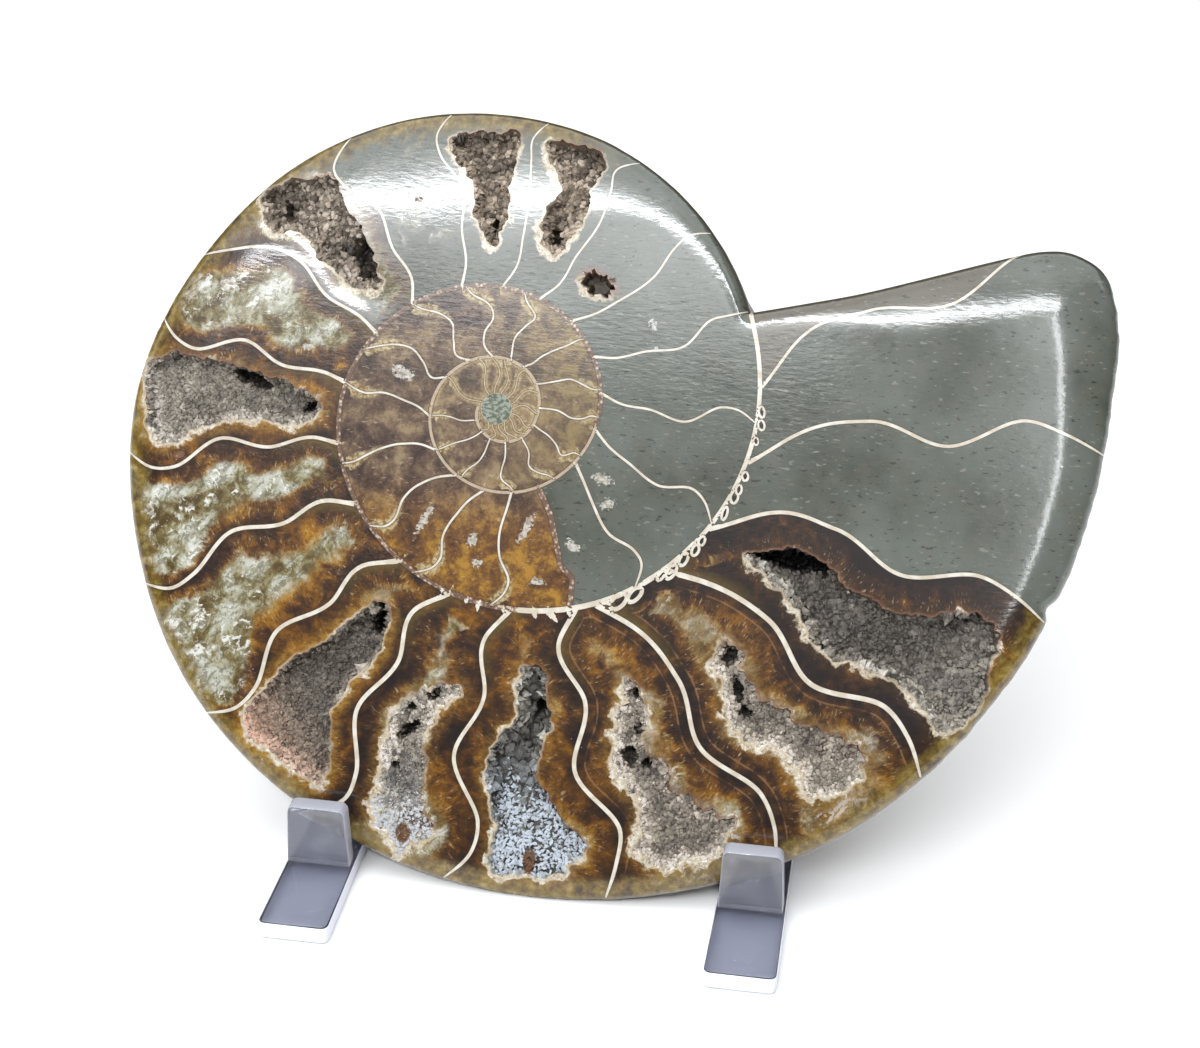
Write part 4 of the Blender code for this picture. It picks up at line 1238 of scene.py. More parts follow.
def edge_crystals(name, rng):
    """Pale points round a hollow's mouth, most of them where the wall faces the light, where they are also
    painted paler as painted light.
    """
    mouth, seed, pale = MOUTHS[name], name_seed(name), HOLLOW_LOOKS[name][2]
    parts = []
    along = spaced(np.concatenate([mouth, mouth[:1]]), POINT_STEP)[:-1]
    ahead = np.roll(along, -1, axis=0) - np.roll(along, 1, axis=0)
    inward = np.stack([-ahead[:, 1], ahead[:, 0]], axis=1) * turning(mouth) / np.hypot(*ahead.T)[:, None]
    lit = EDGE_LIT[EDGES.nearest(along)]
    for reach, deep, size in POINT_ROWS:
        at = along + inward * (reach + rng.uniform(-0.2, 0.2, (len(along), 1)))
        wanted = 1.9 * pale * (0.3 + lit) - 1.15
        keep = 1.5 * noise_2d(at, 2.6, seed + 12, 2) + rng.uniform(-0.6, 0.6, len(at)) < wanted
        at, facing, painted_light_share = at[keep], inward[keep], lit[keep]
        level = polish_level(at) + deep * rng.uniform(0.7, 1.3, len(at))
        directions = on_face(facing, np.full(len(at), -0.35)) + rng.normal(0, 0.4, (len(at), 3))
        sizes = uneven_sizes(rng, len(at), (0.4, 1.6), (0.6, 1.7), size)
        # Painted light: the points are paler where the wall faces the light.
        tones = 0.5 + 0.35 * pale * painted_light_share + 0.3 * noise_2d(at, 1.5, seed + 13, 2)
        tones += rng.normal(0, 0.08, len(at))
        parts.append(scattered(rng, on_face(at, level), directions, sizes, crystal_shape(6, 1.4), tones))
    return parts


def needles(name, rng):
    """White needles over the lower part of a hollow."""
    if name not in NEEDLES:
        return []
    high, low = NEEDLES[name]
    grid, gap = mouth_grid(MOUTHS[name], NEEDLE_STEP, 0.5, rng)
    share = ease((high - grid[:, 1]) / (high - low))
    keep = (gap > 0.4) & (rng.uniform(0, 1, len(grid)) < share * (0.75 + 0.5 * noise_2d(grid, 3.0, 41, 2)))
    grid, gap, share = grid[keep], gap[keep], share[keep]
    level = polish_level(grid) + hollow_depth(name, grid, gap)
    turn = rng.uniform(0, 360, len(grid))
    directions = on_face(from_polar(turn, 1.0), np.full(len(grid), -0.45))
    directions += rng.normal(0, 0.2, (len(grid), 3))
    sizes = rng.uniform(0.7, 1.3, (len(grid), 1)) * np.array(NEEDLE_SIZE)
    tones = 1.0 + 0.5 * share + 1.0 * noise_2d(grid, 2.2, 42, 2) + rng.normal(0, 0.12, len(grid))
    return [scattered(rng, on_face(grid, level - 0.35), directions, sizes, crystal_shape(5, 0.9), tones)]


def plug_share(name, flat):
    """How far each point lies inside a brown crystal of this hollow."""
    share = np.zeros(len(flat))
    for owner, *place in PLUGS:
        if owner == name:
            share = np.maximum(share, 1.5 - reach_in_ellipse(flat, *place))
    return share


def make_crust(name, look):
    """The crystals that line one hollow, in one mesh."""
    rng = np.random.default_rng(SEED + name_seed(name))
    parts = [*floor_crystals(name, rng), *edge_crystals(name, rng), *needles(name, rng)]
    counts = np.cumsum([0] + [len(part[0]) for part in parts])
    points = np.concatenate([part[0] for part in parts])
    faces = np.concatenate([part[1] + count for part, count in zip(parts, counts)])
    flat = points[:, [0, 2]]
    top = polish_level(flat)
    plug = ease(plug_share(name, flat))
    points[:, 1] = np.maximum(points[:, 1] * (1 - 0.7 * plug) + 0.7 * plug * (top + 0.5), top + 0.06)
    node = "crystal_crust_" + name
    mesh = make_piece("crystals_" + name, stood_up(points), faces, look, node)
    centres = flat[faces].mean(axis=1)
    high, low = NEEDLES.get(name, NO_NEEDLES)
    fields = {
        "tone": np.concatenate([part[2] for part in parts]),
        "warm": np.full(len(faces), HOLLOW_LOOKS[name][1]),
        "pink": shelf_share(name, centres) * (name in PINK_SHELVES),
        "plug": plug_share(name, centres),
        "cool": ease((high + COOL_ABOVE - centres[:, 1]) / (high - low)),
    }
    for key, values in fields.items():
        add_field(mesh, key, values, "FACE")
    print(node, len(faces), "triangles")


# ---------------------------------------------------------------- materials


class Graph:
    """A short way to write a node tree."""

    def __init__(self, name):
        self.material = bpy.data.materials.new(name)
        self.material.use_nodes = True
        self.tree = self.material.node_tree
        self.shader = self.tree.nodes["Principled BSDF"]
        place = self.node("ShaderNodeTexCoord")
        self.mm = self.vector("SCALE", place.outputs["Object"], scale=1 / MM)

    def node(self, kind, **settings):
        made = self.tree.nodes.new(kind)
        for key, value in settings.items():
            setattr(made, key, value)
        return made

    def feed(self, socket, value):
        if isinstance(value, bpy.types.NodeSocket):
            self.tree.links.new(value, socket)
        elif socket.type == "RGBA":
            socket.default_value = (*value, 1.0)
        else:
            socket.default_value = value

    def math(self, operation, a, b=0.0, c=0.0, clamp=False):
        made = self.node("ShaderNodeMath", operation=operation, use_clamp=clamp)
        for socket, value in zip(made.inputs, (a, b, c)):
            self.feed(socket, value)
        return made.outputs[0]

    def vector(self, operation, a, b=(0, 0, 0), scale=1.0):
        made = self.node("ShaderNodeVectorMath", operation=operation)
        self.feed(made.inputs[0], a)
        if operation == "SCALE":
            self.feed(made.inputs["Scale"], scale)
        else:
            self.feed(made.inputs[1], b)
        return made.outputs[0]

    def combine(self, x, y, z):
        made = self.node("ShaderNodeCombineXYZ")
        for socket, value in zip(made.inputs, (x, y, z)):
            self.feed(socket, value)
        return made.outputs[0]

    def field(self, name):
        return self.node("ShaderNodeAttribute", attribute_name=name).outputs["Fac"]

    def noise(self, vector, scale, detail=3.0, roughness=0.55, distortion=0.0):
        made = self.node("ShaderNodeTexNoise")
        self.feed(made.inputs["Vector"], vector)
        settings = zip(("Scale", "Detail", "Roughness", "Distortion"), (scale, detail, roughness, distortion))
        for key, value in settings:
            made.inputs[key].default_value = value
        return made.outputs["Fac"]

    def cells(self, vector, scale, feature="F1", output="Distance"):
        made = self.node("ShaderNodeTexVoronoi", feature=feature)
        self.feed(made.inputs["Vector"], vector)
        made.inputs["Scale"].default_value = scale
        return made.outputs[output]

    def ramp(self, value, *stops):
        """Colours along a value, from stops of a position and the colour on screen."""
        made = self.node("ShaderNodeValToRGB")
        elements = made.color_ramp.elements
        while len(elements) < len(stops):
            elements.new(0.5)
        for element, (position, *colour) in zip(elements, stops):
            element.position = position
            element.color = (*rgb(*colour), 1.0)
        self.feed(made.inputs["Fac"], value)
        return made.outputs["Color"]

    def remap(self, value, low, high, to_low=0.0, to_high=1.0):
        made = self.node("ShaderNodeMapRange", interpolation_type="SMOOTHSTEP")
        for key, item in (("From Min", low), ("From Max", high), ("To Min", to_low), ("To Max", to_high)):
            self.feed(made.inputs[key], item)
        self.feed(made.inputs["Value"], value)
        return made.outputs["Result"]

    def fade(self, value, low, high, most=1.0):
        """The given share up to one value, then less, and nothing from the other value on."""
        return self.remap(value, low, high, most, 0.0)

    def minus(self, a, b):
        return self.math("SUBTRACT", a, b)

    def plus(self, a, b):
        return self.math("ADD", a, b)

    def line(self, value, slope, start):
        return self.math("MULTIPLY_ADD", value, slope, start)

    def stretched(self, u, w, v):
        """The place in mm, with noise drawn out along the axes of small numbers."""
        return self.vector("MULTIPLY", self.mm, (u, w, v))

    def times(self, *values):
        product = values[0]
        for value in values[1:]:
            product = self.math("MULTIPLY", product, value)
        return product

    def shifted(self, value, noise, amount):
        """A value made ragged by noise about its middle of one half."""
        return self.line(self.minus(noise, 0.5), amount, value)

    def matches(self, value, wanted):
        """One where a whole-numbered value is the wanted one, else nothing."""
        return self.math("COMPARE", value, float(wanted), 0.4)

    def mix(self, factor, a, b, blend="MIX"):
        made = self.node("ShaderNodeMix", data_type="RGBA", blend_type=blend)
        self.feed(made.inputs[0], factor)
        self.feed(made.inputs[6], a)
        self.feed(made.inputs[7], b)
        return made.outputs[2]

    def blend(self, value, low, high, first, second):
        """From one colour on screen to another while a value rises."""
        return self.mix(self.remap(value, low, high), rgb(*first), rgb(*second))

    def tinted(self, factor, colour, tint):
        return self.mix(factor, colour, self.mix(1.0, colour, screen(*tint), "MULTIPLY"))

    def bump(self, height, strength, distance):
        made = self.node("ShaderNodeBump")
        made.inputs["Strength"].default_value = strength
        made.inputs["Distance"].default_value = distance
        self.feed(made.inputs["Height"], height)
        return made.outputs["Normal"]


class FaceGraph(Graph):
    """The look of a polished face, with the fields and the noises that its colours share."""

    def __init__(self, name):
        super().__init__(name)
        self.edge, self.rim, self.kind = self.field("edge"), self.field("rim"), self.field("kind")
        self.well, self.mouth, self.pale = self.field("well"), self.field("mouth"), self.field("pale")
        self.slow = self.noise(self.mm, 0.09, 3, 0.5)
        self.patch = self.noise(self.mm, 0.3, 4, 0.6, 0.5)
        self.fine = self.noise(self.mm, 1.7, 4, 0.65)
        self.dirt = self.noise(self.stretched(0.9, 1.3, 1.3), 1.0, 4, 0.7)
        self.streaks = self.noise(self.stretched(1.4, 2.2, 2.2), 1.0, 3, 0.6)
        self.pale_crystal = self.ramp(
            self.fine,
            (0.30, 128, 100, 70),
            (0.42, 192, 172, 138),
            (0.52, 238, 228, 206),
            (0.64, 255, 252, 244),
        )


def screen(red, green, blue):
    """The linear values of a colour as shown on screen, 0 to 255."""
    shown = (red / 255, green / 255, blue / 255)
    return tuple(c / 12.92 if c <= 0.04 else ((c + 0.055) / 1.055) ** 2.4 for c in shown)


def rgb(red, green, blue):
    """The stone's own colour where it shows on screen as this, 0 to 255, under the studio's lights."""
    return tuple(value * STONE_SHARE for value in screen(red, green, blue))


def fibre_colour(g, build, fibre):
    """Brown calcite that grew in fibres away from a septum, lighter towards its far edge."""
    toned = g.line(build, 0.5, g.times(g.field("light"), 0.45))
    for noise, amount in ((fibre, 0.2), (g.patch, 0.9), (g.dirt, 0.75), (g.slow, 0.5)):
        toned = g.shifted(toned, noise, amount)
    brown = g.ramp(
        toned,
        (0.00, 28, 14, 8),
        (0.25, 52, 29, 14),
        (0.50, 84, 51, 22),
        (0.75, 116, 79, 36),
        (1.00, 150, 118, 64),
    )
    amber = g.ramp(
        toned,
        (0.00, 50, 28, 8),
        (0.30, 98, 60, 10),
        (0.60, 150, 98, 14),
        (0.90, 198, 144, 40),
    )
    wanted = g.line(g.field("warmth"), 0.5, g.line(build, 0.15, g.slow))
    mottled = g.shifted(wanted, g.patch, 1.1)
    return g.mix(g.remap(mottled, 0.6, 1.15), brown, amber)


def spar_colour(g):
    """Grey-green calcite spar with broken white seams, in the middle of a chamber, with painted shade and
    highlights on its relief.
    """
    warp = g.noise(g.mm, 0.25, 3, 0.6)
    bent = g.vector("ADD", g.mm, g.vector("SCALE", g.combine(warp, g.noise(g.mm, 0.31, 3), warp), scale=7.0))
    body = g.node("ShaderNodeSeparateColor")
    g.feed(body.inputs[0], g.cells(bent, 0.7, "F1", "Color"))
    cloud = g.noise(g.mm, 0.16, 5, 0.62, 0.7)
    tone = g.shifted(g.shifted(cloud, cloud, 0.5), body.outputs[0], 0.12)
    tone = g.shifted(tone, g.noise(g.mm, 1.4, 4, 0.7), 0.3)
    colour = g.ramp(
        tone,
        (0.30, 88, 68, 30),
        (0.41, 128, 112, 68),
        (0.50, 162, 154, 120),
        (0.58, 184, 182, 158),
        (0.70, 212, 212, 198),
    )
    # The relief against its height a step towards the light: the difference paints shade and highlights on
    # the spar.
    relief = g.noise(bent, 0.36, 4, 0.62)
    height_toward_light = g.noise(g.vector("ADD", bent, (-0.3, 0.0, 0.4)), 0.36, 4, 0.62)
    slope = g.minus(relief, height_toward_light)
    near_rim = g.remap(g.field("share"), 0.3, 0.95, -0.05, 0.05)
    blot = g.remap(g.plus(relief, near_rim), 0.55, 0.63)
    rift = g.cells(bent, 0.33, "DISTANCE_TO_EDGE")
    rifts = g.times(g.fade(rift, 0.02, 0.13), g.remap(cloud, 0.5, 0.62))
    shown = g.remap(g.noise(g.mm, 0.3, 3), 0.42, 0.56)
    white = g.times(g.math("MAXIMUM", blot, g.times(rifts, 0.8)), shown)
    # Painted shade where the relief slopes away from the light, painted highlight on white seams that slope
    # towards it.
    colour = g.mix(g.times(g.remap(slope, 0.0, -0.06), 0.6), colour, rgb(84, 72, 46))
    colour = g.mix(g.times(white, 0.9), colour, g.blend(slope, -0.03, 0.03, (178, 172, 150), (252, 251, 244)))
    return colour, g.plus(g.times(blot, shown), g.times(relief, 2.0))


def coil_colour(g):
    """Brown and mauve filling of the small chambers, golden where their septa meet the wall."""
    edge, fine, patch = g.edge, g.fine, g.patch
    tone = g.shifted(g.shifted(g.noise(g.mm, 0.22, 4, 0.6, 0.5), fine, 0.4), patch, 0.5)
    mauve = g.ramp(
        tone,
        (0.30, 54, 36, 28),
        (0.42, 84, 62, 48),
        (0.54, 116, 92, 70),
        (0.68, 156, 132, 98),
    )
    amber = g.ramp(tone, (0.32, 72, 42, 18), (0.5, 120, 78, 28), (0.66, 180, 132, 42))
    colour = g.mix(g.field("amber"), mauve, amber)
    share, spread = g.field("share"), g.shifted(edge, patch, 1.6)
    fan = g.fade(g.line(share, -3.2, g.plus(spread, 1.9)), -0.3, 0.35)
    golden = g.times(fan, g.matches(g.kind, SEPTUM), 0.8)
    colour = g.mix(golden, colour, g.blend(fine, 0.38, 0.62, (142, 110, 50), (224, 206, 160)))
    # Painted light: lighter tan patches on the coil's upper right, the side towards the lights.
    right = g.times(g.remap(patch, 0.42, 0.62, 0.2, 0.75), g.field("sunward"))
    colour = g.mix(right, colour, rgb(160, 136, 84))
    halo = g.times(g.field("early"), g.remap(g.shifted(edge, fine, 0.8), 0.1, 0.75, 1.0, 0.1))
    colour = g.mix(halo, colour, g.blend(fine, 0.38, 0.62, (150, 120, 74), (204, 182, 136)))
    colour = g.mix(g.fade(edge, 0.0, 0.35, 0.35), colour, rgb(70, 48, 36))
    streak = g.noise(g.stretched(0.9, 2.6, 2.6), 1.0, 3, 0.6)
    return g.mix(g.remap(streak, 0.62, 0.72, 0.0, 0.55), colour, rgb(206, 186, 156))


def matrix_colour(g):
    """Dark grey-green matrix with short specks that lie along the cut."""
    grey = g.ramp(
        g.noise(g.mm, 0.05, 4, 0.55),
        (0.34, 62, 67, 54),
        (0.50, 92, 98, 88),
        (0.66, 112, 119, 111),
    )
    grey = g.mix(g.remap(g.noise(g.mm, 0.35, 4, 0.65), 0.35, 0.7, 0.0, 0.35), grey, rgb(112, 108, 94))
    grey = g.mix(g.remap(g.field("warmth"), 0.8, 0.95, 0.0, 0.7), grey, rgb(112, 102, 86))
    long = g.stretched(0.7, 2.0, 2.0)
    speck = g.noise(long, 1.0, 2, 0.5)
    grey = g.mix(g.remap(speck, 0.65, 0.71, 0.0, 0.6), grey, rgb(150, 152, 138))
    return g.mix(g.remap(speck, 0.365, 0.31, 0.0, 0.75), grey, rgb(44, 43, 36))


def whorl_colour(g):
    """The last whorl's chambers, brown calcite beside each septum and then spar, and the spar's relief."""
    edge, patch, slow = g.edge, g.patch, g.slow
    along, cell = g.field("along"), g.field("cell")
    fibre = g.noise(g.combine(g.times(along, 2.4), g.times(edge, 0.65), g.times(cell, 9.0)), 1.0, 3, 0.62)
    dash = g.noise(g.combine(g.times(along, 3.6), g.times(edge, 0.9), g.times(cell, 5.0)), 1.0, 2, 0.5)
    reach = g.times(g.field("zone"), g.remap(slow, 0.3, 0.7, 0.75, 1.3))
    narrowed = g.times(g.remap(g.field("share"), 0.35, 0.95), g.remap(g.field("spar"), 0.8, 1.0, 0.0, 0.55))
    reach = g.times(reach, g.minus(1.0, narrowed))
    fibre = g.line(g.minus(fibre, 0.5), g.remap(g.field("grown"), 0.0, 0.4), 0.5)
    ragged = g.shifted(g.shifted(edge, fibre, 1.3), patch, 3.6)
    build = g.math("DIVIDE", ragged, reach)
    inner = g.math("MULTIPLY", build, 1.0, clamp=True)
    fibres = fibre_colour(g, inner, fibre)
    olive_side = g.times(g.field("later"), g.fade(g.shifted(edge, patch, 1.6), 0.3, 2.2))
    olive_side = g.times(olive_side, g.fade(g.field("share"), 0.08, 0.35, 0.6))
    fibres = g.mix(olive_side, fibres, g.mix(g.dirt, rgb(84, 62, 20), rgb(142, 116, 52)))
    golden = g.times(g.remap(build, 0.7, 1.0), g.remap(build, 1.4, 1.05), g.remap(patch, 0.4, 0.62, 0.0, 0.6))
    fibres = g.mix(golden, fibres, g.blend(g.fine, 0.4, 0.6, (130, 98, 36), (190, 164, 104)))
    patchy = g.remap(patch, 0.38, 0.56, 0.2, 0.8)
    dashes = g.times(g.remap(dash, 0.61, 0.7), g.remap(build, 0.15, 0.6), patchy)
    fibres = g.mix(dashes, fibres, rgb(190, 168, 126))
    dark_dashes = g.times(g.remap(dash, 0.4, 0.33), g.remap(build, 0.1, 0.5), 0.55)
    fibres = g.mix(dark_dashes, fibres, rgb(34, 20, 8))
    echo_gap = g.math("ABSOLUTE", g.minus(g.shifted(edge, slow, 0.9), ECHO_DISTANCE))
    echo = g.times(g.fade(echo_gap, 0.05, 0.22), g.field("echo"), g.remap(patch, 0.42, 0.56, 0.1, 0.7))
    fibres = g.mix(echo, fibres, rgb(150, 110, 72))
    spar, ridges = spar_colour(g)
    in_spar = g.times(g.remap(build, 0.78, 1.25), g.remap(g.field("spar"), 0.0, 0.4))
    return g.mix(in_spar, fibres, spar), g.times(ridges, g.times(g.field("spar"), 0.3))


def rim_shell(g, colour, matrix):
    """Olive and tan shell along the rim, less of it where the matrix is clean."""
    olive = g.ramp(
        g.noise(g.mm, 0.6, 4, 0.65),
        (0.32, 70, 50, 20),
        (0.46, 118, 94, 34),
        (0.58, 150, 126, 52),
        (0.70, 184, 158, 104),
        (0.80, 214, 200, 168),
    )
    gap = g.shifted(g.shifted(g.rim, g.patch, 5.5), g.fine, 1.5)
    at_rim = g.times(g.fade(gap, 1.8, 4.2), g.minus(1.0, g.times(matrix, g.field("clean"))))
    colour = g.mix(g.times(at_rim, 0.85), colour, olive)
    return g.mix(g.fade(g.rim, 0.1, 0.5, 0.8), colour, rgb(74, 58, 34))


def gold_edge(g, colour):
    """Translucent gold round the mouths of some hollows: the stone's own colour, made stronger where the wall
    faces the light as painted light.
    """
    gap = g.shifted(g.shifted(g.mouth, g.patch, 2.4), g.fine, 0.8)
    gold = g.times(g.fade(gap, 0.2, 2.4), g.field("gold"), 0.85)
    return g.mix(gold, colour, g.blend(g.dirt, 0.35, 0.65, (136, 88, 12), (206, 160, 68)))


def crystal_edge(g, colour, fringe):
    """Pale crystals cut by the polish, and a thin lip round each mouth, paler where the wall faces the light
    and browner where it faces away: painted light and shade.
    """
    colour = g.mix(g.times(fringe, 0.9), colour, g.pale_crystal)
    lip = g.times(g.fade(g.shifted(g.mouth, g.fine, 0.3), 0.12, 0.45), g.fade(g.well, 0.0, 0.05), 0.7)
    return g.mix(lip, colour, g.blend(g.pale, 0.2, 0.6, (128, 84, 60), (216, 196, 166)))


def white_flecks(g, colour):
    fleck = g.remap(g.shifted(g.field("fleck"), g.streaks, 2.2), 0.45, 0.7, 0.0, 0.85)
    return g.mix(fleck, colour, g.ramp(g.fine, (0.35, 158, 146, 126), (0.6, 236, 232, 222)))


def shell_lines(g, colour):
    """The drawn lines: cream shell with a dark seam, and the granular wall of the coil."""
    edge, fine, kind = g.edge, g.fine, g.kind
    colour = g.mix(g.fade(edge, 0.02, 0.16, 0.85), colour, rgb(50, 36, 26))
    cream = g.blend(g.noise(g.mm, 0.5, 3), 0.35, 0.65, (226, 212, 190), (250, 243, 228))
    beads = g.shifted(g.cells(g.mm, 1.5), fine, 0.6)
    granular = g.ramp(beads, (0.12, 228, 210, 188), (0.34, 176, 146, 122), (0.55, 118, 90, 72))
    line = g.mix(g.matches(kind, GRANULAR_WALL), cream, granular)
    line = g.mix(g.times(g.field("early"), 0.75), line, g.mix(fine, rgb(150, 116, 74), rgb(220, 196, 150)))
    line = g.mix(g.matches(kind, COIL_WALL), line, g.mix(fine, rgb(170, 142, 112), rgb(226, 206, 180)))
    colour = g.mix(g.fade(edge, -0.02, 0.05), colour, line)
    hole = g.times(g.matches(kind, LACE), g.field("hole"), g.remap(edge, 0.0, 0.08))
    return g.mix(hole, colour, rgb(34, 28, 22))


def first_chamber(g, colour):
    spot = g.blend(g.streaks, 0.42, 0.58, (92, 100, 82), (160, 168, 150))
    return g.mix(g.field("spot"), colour, spot)


def hollow_colour(g):
    """Rock and crystal below the polish: the hollow's wall, paler where it faces the light as painted light,
    its floor, and painted shade in its depths.
    """
    stone = g.plus(g.field("tone"), g.times(g.minus(g.noise(g.mm, 0.9, 5, 0.7), 0.5), 0.9))
    floor = g.ramp(stone, (0.1, 34, 30, 27), (0.4, 78, 72, 66), (0.7, 140, 135, 127), (1.0, 206, 202, 194))
    floor = g.tinted(g.field("warm"), floor, (224, 190, 150))
    brown = g.mix(g.fine, rgb(70, 50, 38), rgb(150, 112, 84))
    # Painted light: the wall turns pale where it faces the light and stays brown where it faces away.
    wall = g.mix(g.remap(g.pale, 0.25, 0.6), brown, g.pale_crystal)
    below = g.mix(g.remap(g.well, 0.3, 1.4), wall, floor)
    # Painted shade: black where a hollow is deeper than 6 mm.
    return g.mix(g.remap(g.well, 6.0, 9.0), below, rgb(22, 19, 17))


def polish_face(g, fringe, sunk, ridges):
    """The polish: a clear coat with faint ripples over fine scratches. The hollows are rough and bare."""
    rough = g.line(g.fine, 0.12, g.line(fringe, 0.15, 0.26))
    g.feed(g.shader.inputs["Roughness"], g.math("MULTIPLY_ADD", sunk, 0.3, rough, clamp=True))
    scratch = g.noise(g.stretched(0.8, 4.0, 4.0), 1.0, 3, 0.6)
    relief = g.plus(g.times(g.fine, g.remap(g.well, 0.02, 0.2, 0.12, 1.0)), g.times(scratch, 0.12))
    relief = g.plus(relief, ridges)
    g.feed(g.shader.inputs["Normal"], g.bump(relief, 0.4, 0.0003))
    g.shader.inputs["IOR"].default_value = 1.55
    g.shader.inputs["Specular IOR Level"].default_value = 0.25
    g.feed(g.shader.inputs["Coat Weight"], g.minus(1.0, g.times(sunk, 0.85)))
    g.shader.inputs["Coat Roughness"].default_value = 0.1
    g.shader.inputs["Coat IOR"].default_value = 1.5
    ripples = g.noise(g.stretched(0.5, 1.5, 1.5), 1.0, 3, 0.6)
    g.feed(g.shader.inputs["Coat Normal"], g.bump(ripples, 0.1, 0.0002))


def face_material(name, coil):
    """The polished face: the coil's inner whorls, or the last whorl."""
    g = FaceGraph(name)
    colour, ridges = (coil_colour(g), 0.0) if coil else whorl_colour(g)
    matrix = g.remap(g.shifted(g.field("matrix"), g.patch, 0.7), 0.38, 0.62)
    colour = g.mix(matrix, colour, matrix_colour(g))
    colour = rim_shell(g, colour, matrix)
    colour = gold_edge(g, colour)
    # The pale fringe reaches further in where the mouth's edge is paler, which includes painted light on
    # walls facing the light.
    reach = g.line(g.minus(g.patch, 0.5), 5.0, g.line(g.pale, 1.3, -0.7))
    fringe = g.fade(g.minus(g.shifted(g.mouth, g.fine, 1.4), reach), -0.15, 0.3)
    colour = crystal_edge(g, colour, fringe)
    colour = white_flecks(g, colour)
    colour = shell_lines(g, colour)
    colour = first_chamber(g, colour)
    sunk = g.remap(g.well, 0.02, 0.2)
    g.feed(g.shader.inputs["Base Color"], g.mix(sunk, colour, hollow_colour(g)))
    polish_face(g, fringe, sunk, ridges)
    return g.material


def back_material():
    g = Graph("shell_back")
    patch = g.noise(g.mm, 0.08, 5, 0.6, 0.4)
    fine = g.noise(g.mm, 0.9, 5, 0.65)
    growth = g.noise(g.combine(g.times(g.field("phi"), 1.4), g.field("share"), 0.0), 1.0, 3, 0.6)
    shell = g.ramp(
        patch,
        (0.32, 70, 44, 24),
        (0.45, 116, 80, 46),
        (0.56, 158, 122, 80),
        (0.68, 206, 184, 150),
    )
    shell = g.mix(g.remap(growth, 0.35, 0.7, 0.0, 0.45), shell, rgb(76, 52, 34))
    shell = g.mix(g.remap(fine, 0.46, 0.62, 0.0, 0.6), shell, rgb(84, 64, 46))
    shell = g.mix(g.remap(g.noise(g.mm, 0.35, 5, 0.7), 0.55, 0.66, 0.0, 0.7), shell, rgb(212, 196, 168))
    shell = g.mix(g.fade(g.field("rim"), 0.0, 1.5, 0.75), shell, rgb(90, 70, 42))
    g.feed(g.shader.inputs["Base Color"], shell)
    g.feed(g.shader.inputs["Roughness"], g.remap(fine, 0.3, 0.7, 0.3, 0.5))
    g.feed(g.shader.inputs["Normal"], g.bump(g.plus(fine, g.times(growth, 0.6)), 0.5, 0.0004))
    return g.material


def crystal_material():
    g = Graph("druse_crystals")
    fine = g.noise(g.mm, 2.0, 3)
    tone = g.shifted(g.shifted(g.field("tone"), fine, 0.35), g.noise(g.mm, 0.8, 4, 0.7), 0.35)
    colour = g.ramp(
        tone,
        (0.05, 30, 27, 24),
        (0.30, 84, 79, 73),
        (0.50, 126, 121, 113),
        (0.72, 178, 172, 160),
        (0.90, 236, 230, 218),
        (1.00, 255, 252, 246),
    )
    colour = g.tinted(g.field("warm"), colour, (222, 182, 142))
    colour = g.tinted(g.field("cool"), colour, (226, 238, 255))
    colour = g.tinted(g.field("pink"), colour, (255, 214, 194))
    plug = g.mix(fine, rgb(64, 34, 10), rgb(140, 88, 34))
    colour = g.mix(g.remap(g.field("plug"), 0.35, 0.6), colour, plug)
    g.feed(g.shader.inputs["Base Color"], colour)
    g.feed(g.shader.inputs["Roughness"], g.remap(fine, 0.35, 0.65, 0.28, 0.5))
    g.feed(g.shader.inputs["Normal"], g.bump(g.noise(g.mm, 1.8, 4, 0.7), 0.7, 0.0004))
    g.shader.inputs["IOR"].default_value = 1.55
    return g.material


def acrylic_material(name, roughness, clear):
    g = Graph(name)
    g.shader.inputs["Base Color"].default_value = (*screen(236, 238, 250), 1.0)
    g.shader.inputs["Roughness"].default_value = roughness
    g.shader.inputs["IOR"].default_value = 1.49
    g.shader.inputs["Transmission Weight"].default_value = clear
    inside = g.node("ShaderNodeVolumeAbsorption")
    inside.inputs["Color"].default_value = (*ACRYLIC_TINT, 1.0)
    inside.inputs["Density"].default_value = ACRYLIC_DENSITY
    g.tree.links.new(inside.outputs[0], g.tree.nodes["Material Output"].inputs["Volume"])
    return g.material


def floor_material():
    g = Graph("pale_floor")
    tone = g.noise(g.mm, 0.02, 3)
    g.feed(g.shader.inputs["Base Color"], g.mix(tone, screen(245, 245, 244), screen(250, 250, 249)))
    g.shader.inputs["Roughness"].default_value = 0.8
    return g.material


# ---------------------------------------------------------------- the easel


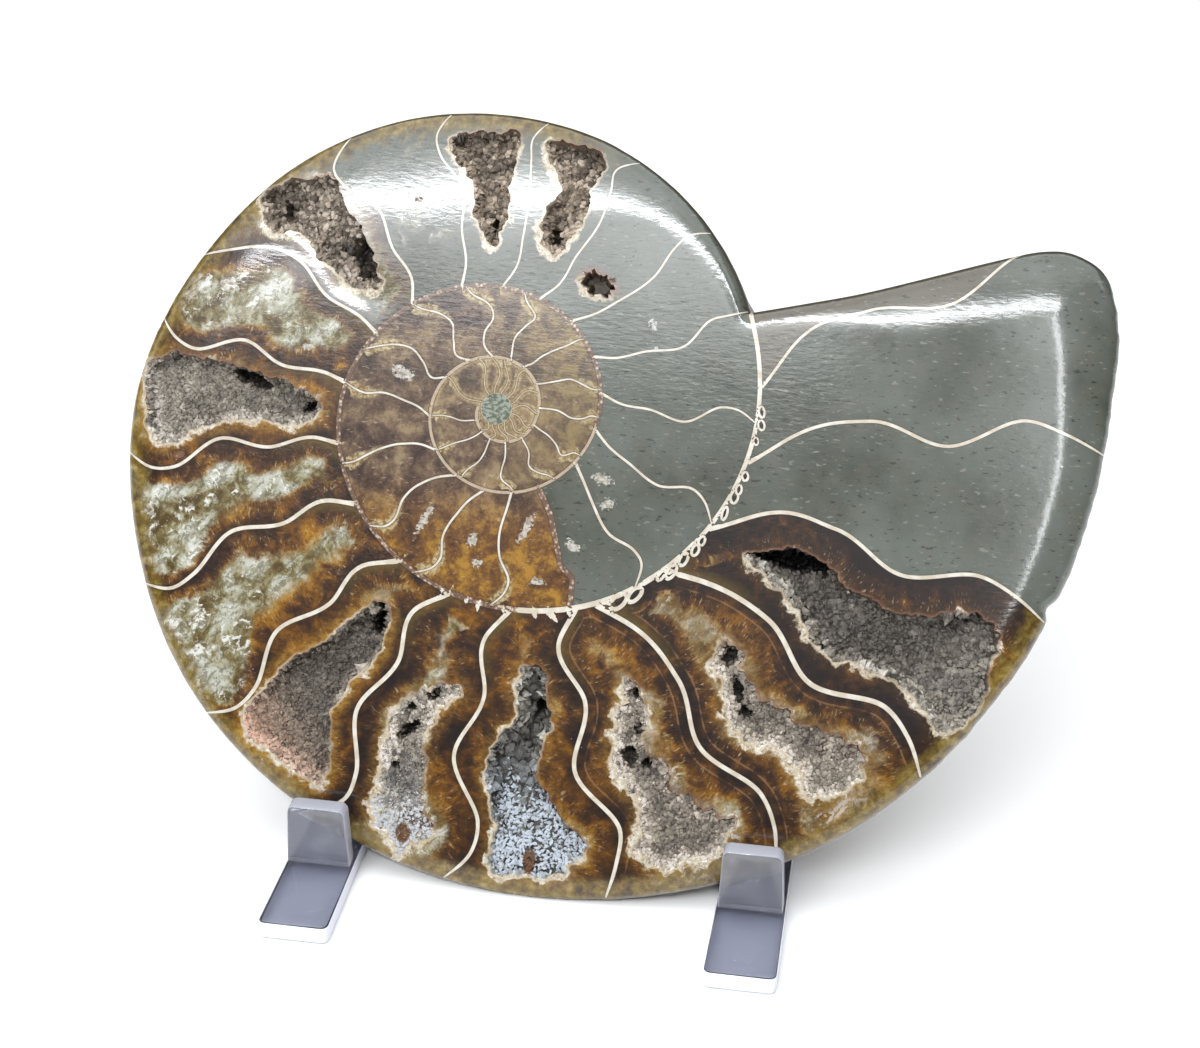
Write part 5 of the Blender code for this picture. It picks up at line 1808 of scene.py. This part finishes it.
def make_easel():
    """The acrylic parts with softened edges; the sawn edges of the sheet are less clear than its faces."""
    clear, scuffed, sawn, dull = (acrylic_material(*look) for look in ACRYLIC_LOOKS)
    for name in EASEL_PARTS:
        looks = (scuffed, dull) if name.startswith("lip") else (clear, sawn)
        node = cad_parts[name]
        shape = bmesh.new()
        shape.from_mesh(node.data)
        shape.transform(node.matrix_world)
        bmesh.ops.remove_doubles(shape, verts=shape.verts, dist=1e-6)
        bmesh.ops.dissolve_limit(shape, angle_limit=math.radians(2), verts=shape.verts, edges=shape.edges)
        corners = [edge for edge in shape.edges if edge.calc_face_angle(0) > math.radians(35)]
        bevel = dict(offset=EASEL_BEVEL, segments=2, affect="EDGES", profile=0.5, clamp_overlap=True)
        bmesh.ops.bevel(shape, geom=corners, **bevel)
        bmesh.ops.triangulate(shape, faces=shape.faces)
        shape.normal_update()
        spread = np.zeros((3, 3))
        for face in shape.faces:
            spread += np.outer(face.normal, face.normal) * face.calc_area()
        across_sheet = Vector(np.linalg.eigh(spread)[1][:, 2])
        for face in shape.faces:
            face.material_index = int(abs(face.normal.dot(across_sheet)) < 0.5)
        mesh = bpy.data.meshes.new("easel_" + name)
        shape.to_mesh(mesh)
        shape.free()
        mesh.shade_smooth()
        mesh.set_sharp_from_angle(angle=math.radians(EASEL_SHARP))
        for look in looks:
            mesh.materials.append(look)
        add_piece("easel_" + name, mesh, name)


# ---------------------------------------------------------------- studio


def row_point(u, w, v):
    return Vector(stood_up(np.array([[u, w, v]]))[0])


def towards(azimuth, elevation):
    """The direction of something seen from the fossil; azimuth 0 is straight in front."""
    a, e = math.radians(azimuth), math.radians(elevation)
    return Vector((math.sin(a) * math.cos(e), -math.cos(a) * math.cos(e), math.sin(e)))


def make_camera():
    camera = add_object("camera", bpy.data.cameras.new("camera"))
    back = towards(CAMERA_AZIMUTH, CAMERA_ELEVATION)
    camera.location = row_point(AIM_UV[0], 0, AIM_UV[1]) + back * CAMERA_DISTANCE * MM
    turned = (-back).to_track_quat("-Z", "Y").to_matrix() @ Matrix.Rotation(math.radians(CAMERA_ROLL), 3, "Z")
    camera.rotation_euler = turned.to_euler()
    camera.data.lens = CAMERA_LENS
    camera.data.sensor_width = 36.0
    camera.data.clip_start = 0.01
    camera.data.clip_end = 20.0
    bpy.context.scene.camera = camera


def add_light(name, azimuth, elevation, distance, size, power):
    """A soft box that looks at the middle of the coil."""
    data = bpy.data.lights.new(name, "AREA")
    data.shape = "RECTANGLE"
    data.size, data.size_y = size
    data.energy = power
    data.color = LIGHT_COLOUR
    light = add_object(name, data)
    away = towards(azimuth, elevation)
    light.location = row_point(0, 0, 0) + away * distance
    light.rotation_euler = away.to_track_quat("Z", "Y").to_euler()


def make_studio():
    for light in LIGHTS:
        add_light(*light)
    world = bpy.data.worlds.new("studio")
    bpy.context.scene.world = world
    world.use_nodes = True
    world.node_tree.nodes["Background"].inputs["Color"].default_value = (1.0, 1.0, 1.0, 1.0)
    world.node_tree.nodes["Background"].inputs["Strength"].default_value = WORLD_STRENGTH
    mesh = bpy.data.meshes.new("table_top")
    corners = [(x * TABLE_HALF, y * TABLE_HALF, 0) for x, y in ((-1, -1), (1, -1), (1, 1), (-1, 1))]
    mesh.from_pydata(corners, [], [(0, 1, 2, 3)])
    mesh.materials.append(floor_material())
    table = add_object("table_top", mesh)
    table.location.z = -TABLE_GAP
    bpy.context.scene.view_settings.view_transform = "Standard"


def main():
    make_camera()
    make_face(face_material("polished_coil", True), face_material("polished_whorl", False))
    make_back(back_material())
    crystals = crystal_material()
    for name in HOLLOWS:
        make_crust(name, crystals)
    make_easel()
    make_studio()


main()
